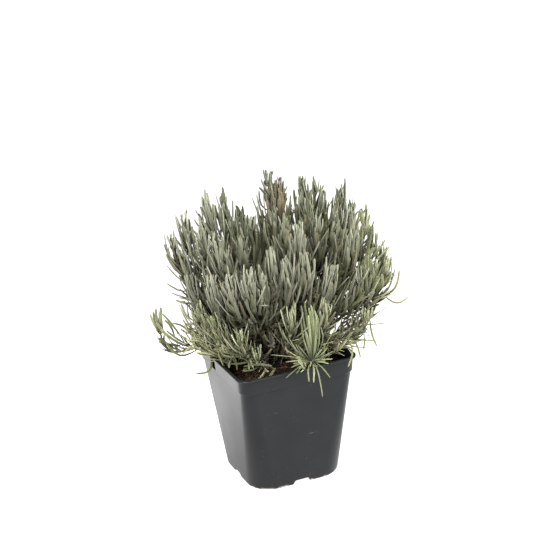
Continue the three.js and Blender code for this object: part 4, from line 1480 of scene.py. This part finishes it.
soil = add_soil()
print("peat:", len(soil.data.polygons), "faces")

# %% Loose bits
CRUMBS = 2600
CHIPS = 130
FIBRES = 650
FIBRE_SHAPE = (0.5, 1, 1, 1, 1, 0.9, 0.4)  # the radius along a fibre, as a share of its own
FIBRE_SIDES = 4
SOIL_SEED = 200


def soil_spot(rng, reach=0.96):
    x, y = rng.uniform(-1, 1, 2) * (SOIL_HALF - 1.5) * reach
    return Vector((x, y, soil_height(x, y)))


def random_turn(rng, tilt=0.5):
    """A turn about the upright, then a tilt from it."""
    lean = Matrix.Rotation(rng.normal(0, tilt), 3, "X") @ Matrix.Rotation(rng.normal(0, tilt), 3, "Y")
    return lean @ Matrix.Rotation(rng.uniform(0, math.tau), 3, "Z")


def crumb_part(rng, lump, faces):
    """A small lump: an icosphere pushed about and set into the peat."""
    size = rng.uniform(0.5, 1.5) * (1.7 if rng.uniform() > 0.93 else 1.0)
    stretch = np.array([rng.uniform(0.7, 1.3), rng.uniform(0.6, 1.1), rng.uniform(0.5, 0.9)])
    turn = np.array(random_turn(rng, 1.0))
    points = (lump * rng.uniform(0.8, 1.2, (len(lump), 1)) * stretch * size) @ turn.T
    spot = soil_spot(rng)
    return (points + np.array(spot)) * MM, faces


def chip_part(rng):
    """A broken slab of bark: a rough outline of five to seven corners with a bevelled thickness."""
    corners = int(rng.integers(5, 8))
    length, width, thick = rng.uniform(3, 8.5), rng.uniform(2, 4.5), rng.uniform(0.5, 1.3)
    angles = np.sort(rng.uniform(0, 1, corners) * 0.6 + np.arange(corners)) / corners * math.tau
    oval = np.stack([np.cos(angles) * length / 2, np.sin(angles) * width / 2], -1)
    outline = oval * rng.uniform(0.75, 1.1, (corners, 1))
    levels = [(-thick / 2, 0.88), (-thick * 0.3, 1.0), (thick * 0.3, 0.98), (thick / 2, 0.84)]
    rings = [np.column_stack([outline * grow, np.full(corners, z)]) for z, grow in levels]
    points = np.vstack(rings) @ np.array(random_turn(rng, 0.3)).T
    spot = soil_spot(rng, 0.9)
    spot.z += thick * 0.3
    return (points + np.array(spot)) * MM, tube_faces(0, len(levels), corners)


def fibre_part(rng, radius):
    """A thread of peat fibre that lies bent on the surface."""
    spot = soil_spot(rng, 0.93)
    length = rng.uniform(4, 15)
    heading = rng.uniform(0, math.tau)
    bendiness = rng.normal(0, 1.2)
    arch = rng.uniform(0.1, 1.8)
    count = len(FIBRE_SHAPE)
    limit = SOIL_HALF - 1
    path = []
    x, y = spot.x, spot.y
    for share in np.linspace(0, 1, count):
        x, y = float(np.clip(x, -limit, limit)), float(np.clip(y, -limit, limit))
        path.append((x, y, soil_height(x, y) + 0.2 + arch * math.sin(math.pi * share)))
        x += math.cos(heading + bendiness * share) * length / (count - 1)
        y += math.sin(heading + bendiness * share) * length / (count - 1)
    tube = sweep_tube(np.array(path), radius * np.array(FIBRE_SHAPE), FIBRE_SIDES)
    return tube.reshape(-1, 3) * MM, tube_faces(0, count, FIBRE_SIDES)


def bits_finish(name, dark, light, pale, grain):
    finish = Finish(name)
    tint = finish.mark("tint")
    cloud = finish.noise(grain, detail=4.0, rough=0.65)
    colour = finish.mix((tint * 0.8 + (cloud - 0.4)).clamp(), dark, light)
    colour = finish.mix(tint.ramp(0.8, 1.0) * 0.6, colour, pale)
    normal = finish.bump(cloud, 0.4, 0.9)
    return finish.close(Base_Color=colour, Roughness=0.92 - cloud * 0.12, Normal=normal, Specular_IOR_Level=0.12)


def add_bits(name, parts, finish, rng):
    """One piece out of many loose bits, each with its own tint."""
    marked = [(points, faces, marks_of((len(points),), tint=rng.uniform())) for points, faces in parts]
    return make_piece(name, *join_parts(marked), finish, SLOTS["soil"])


def unit_lump():
    mesh = bmesh.new()
    bmesh.ops.create_icosphere(mesh, subdivisions=1, radius=1.0)
    points = np.array([vert.co for vert in mesh.verts])
    faces = [tuple(vert.index for vert in face.verts) for face in mesh.faces]
    mesh.free()
    return points, faces


def scatter_bits():
    rng = np.random.default_rng(SOIL_SEED)
    lump, faces = unit_lump()
    crumbs = bits_finish("peat_crumb", rgb(9, 6, 4), rgb(25, 18, 13), rgb(48, 35, 25), 1.0)
    chips = bits_finish("bark_chip", rgb(20, 11, 7), rgb(56, 31, 19), rgb(86, 60, 40), 2.0)
    threads = bits_finish("peat_fibre", rgb(20, 14, 9), rgb(52, 37, 25), rgb(92, 76, 54), 1.5)
    return [
        add_bits("peat_crumbs", [crumb_part(rng, lump, faces) for _ in range(CRUMBS)], crumbs, rng),
        add_bits("bark_chips", [chip_part(rng) for _ in range(CHIPS)], chips, rng),
        add_bits("peat_fibres", [fibre_part(rng, rng.uniform(0.1, 0.2)) for _ in range(FIBRES)], threads, rng),
    ]


bits = scatter_bits()
print("loose bits:", [(piece.name, len(piece.data.polygons)) for piece in bits])

# %% [markdown]
# ## Twigs between and below the tufts
# Thin twigs leave the wood all round the foot of the plant. They carry narrow leaves, yellower than the tufts', and
# some hang over the rim. More of them fill the dark inside of the mound. The model has none of them, because they
# are too fine for its solids. They are drawn by rule: a group has ranges for the bearing, reach and height of a
# twig's end and for its leaves. A few stray leaves that stand out in the photograph are placed as listed.

# %% Grow the twigs
# Bearings in degrees from the x axis. Reach from the pot's axis, height over the peat and leaf length in millimetres.
LOW_TWIGS = [
    {"twigs": 20, "bearing": (144, 200), "reach": (36, 68), "height": (8, 36), "leaf": (18, 36), "width": 2.0,
     "droop": 0.1, "rise": 0.9},
    {"twigs": 2, "bearing": (168, 200), "reach": (42, 58), "height": (6, 14), "leaf": (14, 26), "width": 1.6,
     "droop": 0.8, "rise": 0.5},
    {"twigs": 1, "bearing": (-150, -128), "reach": (26, 34), "height": (10, 18), "leaf": (9, 17), "width": 1.6,
     "droop": 0.0, "rise": 0.7},
    {"twigs": 3, "bearing": (-140, -85), "reach": (14, 28), "height": (14, 30), "leaf": (9, 18), "width": 1.5,
     "droop": 0.2, "rise": 0.6},
    {"twigs": 2, "bearing": (-92, -60), "reach": (40, 50), "height": (8, 12), "leaf": (10, 18), "width": 1.4,
     "droop": 0.2, "rise": 0.6},
    {"twigs": 14, "bearing": (-52, 8), "reach": (46, 68), "height": (26, 62), "leaf": (8, 18), "width": 1.8,
     "droop": 0.2, "rise": 0.7},
    {"twigs": 6, "bearing": (-46, -14), "reach": (48, 66), "height": (10, 24), "leaf": (8, 17), "width": 1.7,
     "droop": 0.9, "rise": 0.2},
    {"twigs": 18, "bearing": (14, 146), "reach": (38, 66), "height": (6, 36), "leaf": (14, 28), "width": 1.6,
     "droop": 0.4, "rise": 0.6},
]
INNER_TWIGS = [
    {"twigs": 95, "bearing": (-180, 180), "reach": (12, 52), "height": (26, 78), "leaf": (12, 23), "width": 1.5,
     "droop": 0.0, "rise": 0.6},
]
# Single leaves that stand out: width, root, bend and tip, in millimetres right, toward the camera and up.
STRAY_LEAVES = [
    (2.1, (-55, 22, 118), (-53, 26, 102), (-69, 26, 104)), (1.8, (-55, -2, 116), (-66, 4, 125), (-80, 3, 112)),
    (1.9, (-45, 30, 115), (-35, 32, 111), (-22, 34, 115)), (2.2, (-27, 42, 114), (-15, 46, 118), (-3, 46, 114)),
    (1.8, (-16, 50, 105), (-12, 46, 107), (-8, 42, 111)), (1.9, (-8, 50, 105), (-4, 46, 107), (0, 42, 111)),
    (2.1, (95, 5, 156), (106, 8, 144), (116, 8, 154)), (1.9, (94, 5, 154), (108, 8, 160), (109, 8, 178)),
    (1.9, (-66, 0, 157), (-75, 0, 159), (-82, 0, 161)), (1.5, (63, 35, 126), (65, 38, 119), (60, 38, 106)),
    (1.4, (68, 25, 124), (69, 27, 118), (72, 27, 109)), (1.4, (76, 20, 127), (76, 22, 121), (75, 22, 114)),
    (1.5, (82, 15, 138), (82, 17, 126), (87, 17, 114)), (1.5, (50, 30, 116), (56, 32, 120), (62, 26, 128)),
]
TWIG_PAIR_SPACING = 4.2 * MM
TWIG_RADII = (0.75, 0.4)  # in millimetres, from start to end
TWIG_SIDES = 6
TWIG_AGE = 0.8
TWIG_TINT = 0.35
TWIG_BUD_LEAVES = 6
LOW_SEED = 300
INNER_SEED = 301
STRAY_SEED = 302
LIP_CLEARANCE = 13 * MM  # over the peat, for a twig that passes over the lip


def twig_path(group, rng):
    """Points of one twig, from the wood out to its end."""
    bearing = math.radians(rng.uniform(*group["bearing"]))
    out = Vector((math.cos(bearing), math.sin(bearing), 0))
    reach = rng.uniform(*group["reach"]) * MM
    height = rng.uniform(*group["height"]) * MM
    if reach * max(abs(out.x), abs(out.y)) > (LIP_HALF - 6) * MM:
        height = max(height, LIP_CLEARANCE)
    start = out * min(rng.uniform(8, 16) * MM + height * 0.25, reach * 0.6)
    start.z = SOIL_LEVEL + max(rng.uniform(1, 10) * MM, height - 24 * MM)
    end = out * reach
    end.z = SOIL_LEVEL + height
    beside = Vector((-out.y, out.x, 0)) * rng.normal(0, 5) * MM
    first = start.lerp(end, 0.35) + Vector((0, 0, rng.uniform(2, 6) * MM)) + beside * 0.5
    second = start.lerp(end, 0.72) + Vector((0, 0, rng.uniform(1, 5) * MM)) + beside
    return smooth_path([start, first, second, end + beside], 6)


def drooping_leaf(root, outward, length, width, rng, age):
    """A long thin leaf that arches out and hangs."""
    level = Vector((outward.x, outward.y, 0)).normalized()
    bend = root + level * length * 0.35 + UP * rng.uniform(-0.1, 0.15) * length
    tip = root + level * length * rng.uniform(0.35, 0.75) + UP * rng.uniform(-0.9, -0.3) * length
    return new_leaf(root, bend, tip, level.cross(UP), level, rng, width, age, TWIG_TINT)


def twig_leaves(path, group, rng):
    """Pairs of leaves along a twig, each crosswise to the last, and a few at its end."""
    steps = np.linalg.norm(np.diff(path, axis=0), axis=1)
    reached = np.concatenate([[0], np.cumsum(steps)])
    points = [Vector(point) for point in path]
    turn = rng.uniform(0, math.tau)
    width, rise = group["width"] * MM, group["rise"]
    leaves = []
    for run_length in np.arange(reached[-1] * 0.25, reached[-1], TWIG_PAIR_SPACING):
        root, along = stem_place(points, float(np.interp(run_length, reached, range(len(points)))))
        turn += math.pi / 2 + rng.normal(0, 0.4)
        for half in (0, math.pi):
            outward = turned_outward(along, turn + half)
            length = rng.uniform(*group["leaf"]) * MM
            age = float(np.clip(rng.normal(0.15, 0.3), 0, 1))
            if rng.uniform() < group["droop"] and outward.z > -0.6:
                leaves.append(drooping_leaf(root, outward, length, width, rng, age))
            else:
                opening = rng.uniform(0.5, 1.3)
                loose = rng.uniform(0.1, 0.7)
                look = (width, age, TWIG_TINT, rise)
                leaves.append(bent_leaf(root, along, outward, length, opening, loose, rng, *look))
    along = (points[-1] - points[-3]).normalized()
    look = (width, 0.0, TWIG_TINT, rise)
    for k in range(TWIG_BUD_LEAVES):
        outward = turned_outward(along, k * GOLDEN_TURN)
        length = rng.uniform(*group["leaf"]) * 0.85 * MM
        opening = rng.uniform(0.2, 0.9)
        leaves.append(bent_leaf(points[-1], along, outward, length, opening, 0.3, rng, *look))
    return leaves


def add_twigs(name, groups, finish, seed, *more):
    """One piece out of all the twigs of some groups, with any further parts."""
    rng = np.random.default_rng(seed)
    parts = list(more)
    for group in groups:
        for _ in range(group["twigs"]):
            path = twig_path(group, rng)
            tube = sweep_tube(path, np.linspace(*TWIG_RADII, len(path)) * MM, TWIG_SIDES)
            marks = marks_of((len(path), TWIG_SIDES), tint=rng.uniform(), age=TWIG_AGE, wood=1.0)
            parts.append(tube_part(tube, marks))
            parts.append(sweep_blades(twig_leaves(path, group, rng), SHORT_STATIONS, SLIM_TOP, SLIM_BACK))
    points, faces, marks = join_parts(parts)
    marks[:, MARKS.index("shade")] = hollow_shade(points)
    return make_piece(name, points, faces, marks, finish, "leaf")


LOW_COLOURS = (rgb(56, 63, 26), rgb(152, 151, 120), rgb(108, 96, 66), rgb(66, 54, 37))
# Painted shade: the leaves of the inner twigs take a darker copy of the leaf colours, as if in the mound's shade.
INNER_SHADED_COLOURS = (rgb(38, 42, 24), rgb(74, 73, 56), rgb(76, 66, 47), rgb(50, 42, 30))
low_finish = leaf_finish("twig_leaf_felt", *LOW_COLOURS)
shaded_inner_finish = leaf_finish("shaded_inner_leaf_felt", *INNER_SHADED_COLOURS)
strays = placed_leaves(STRAY_LEAVES, 0.1, 0.3, np.random.default_rng(STRAY_SEED))
low_twigs = add_twigs("low_twigs", LOW_TWIGS, low_finish, LOW_SEED, sweep_blades(strays, LONG_STATIONS))
inner_twigs = add_twigs("inner_twigs", INNER_TWIGS, shaded_inner_finish, INNER_SEED)
print("twigs:", [(piece.name, len(piece.data.polygons)) for piece in (low_twigs, inner_twigs)])
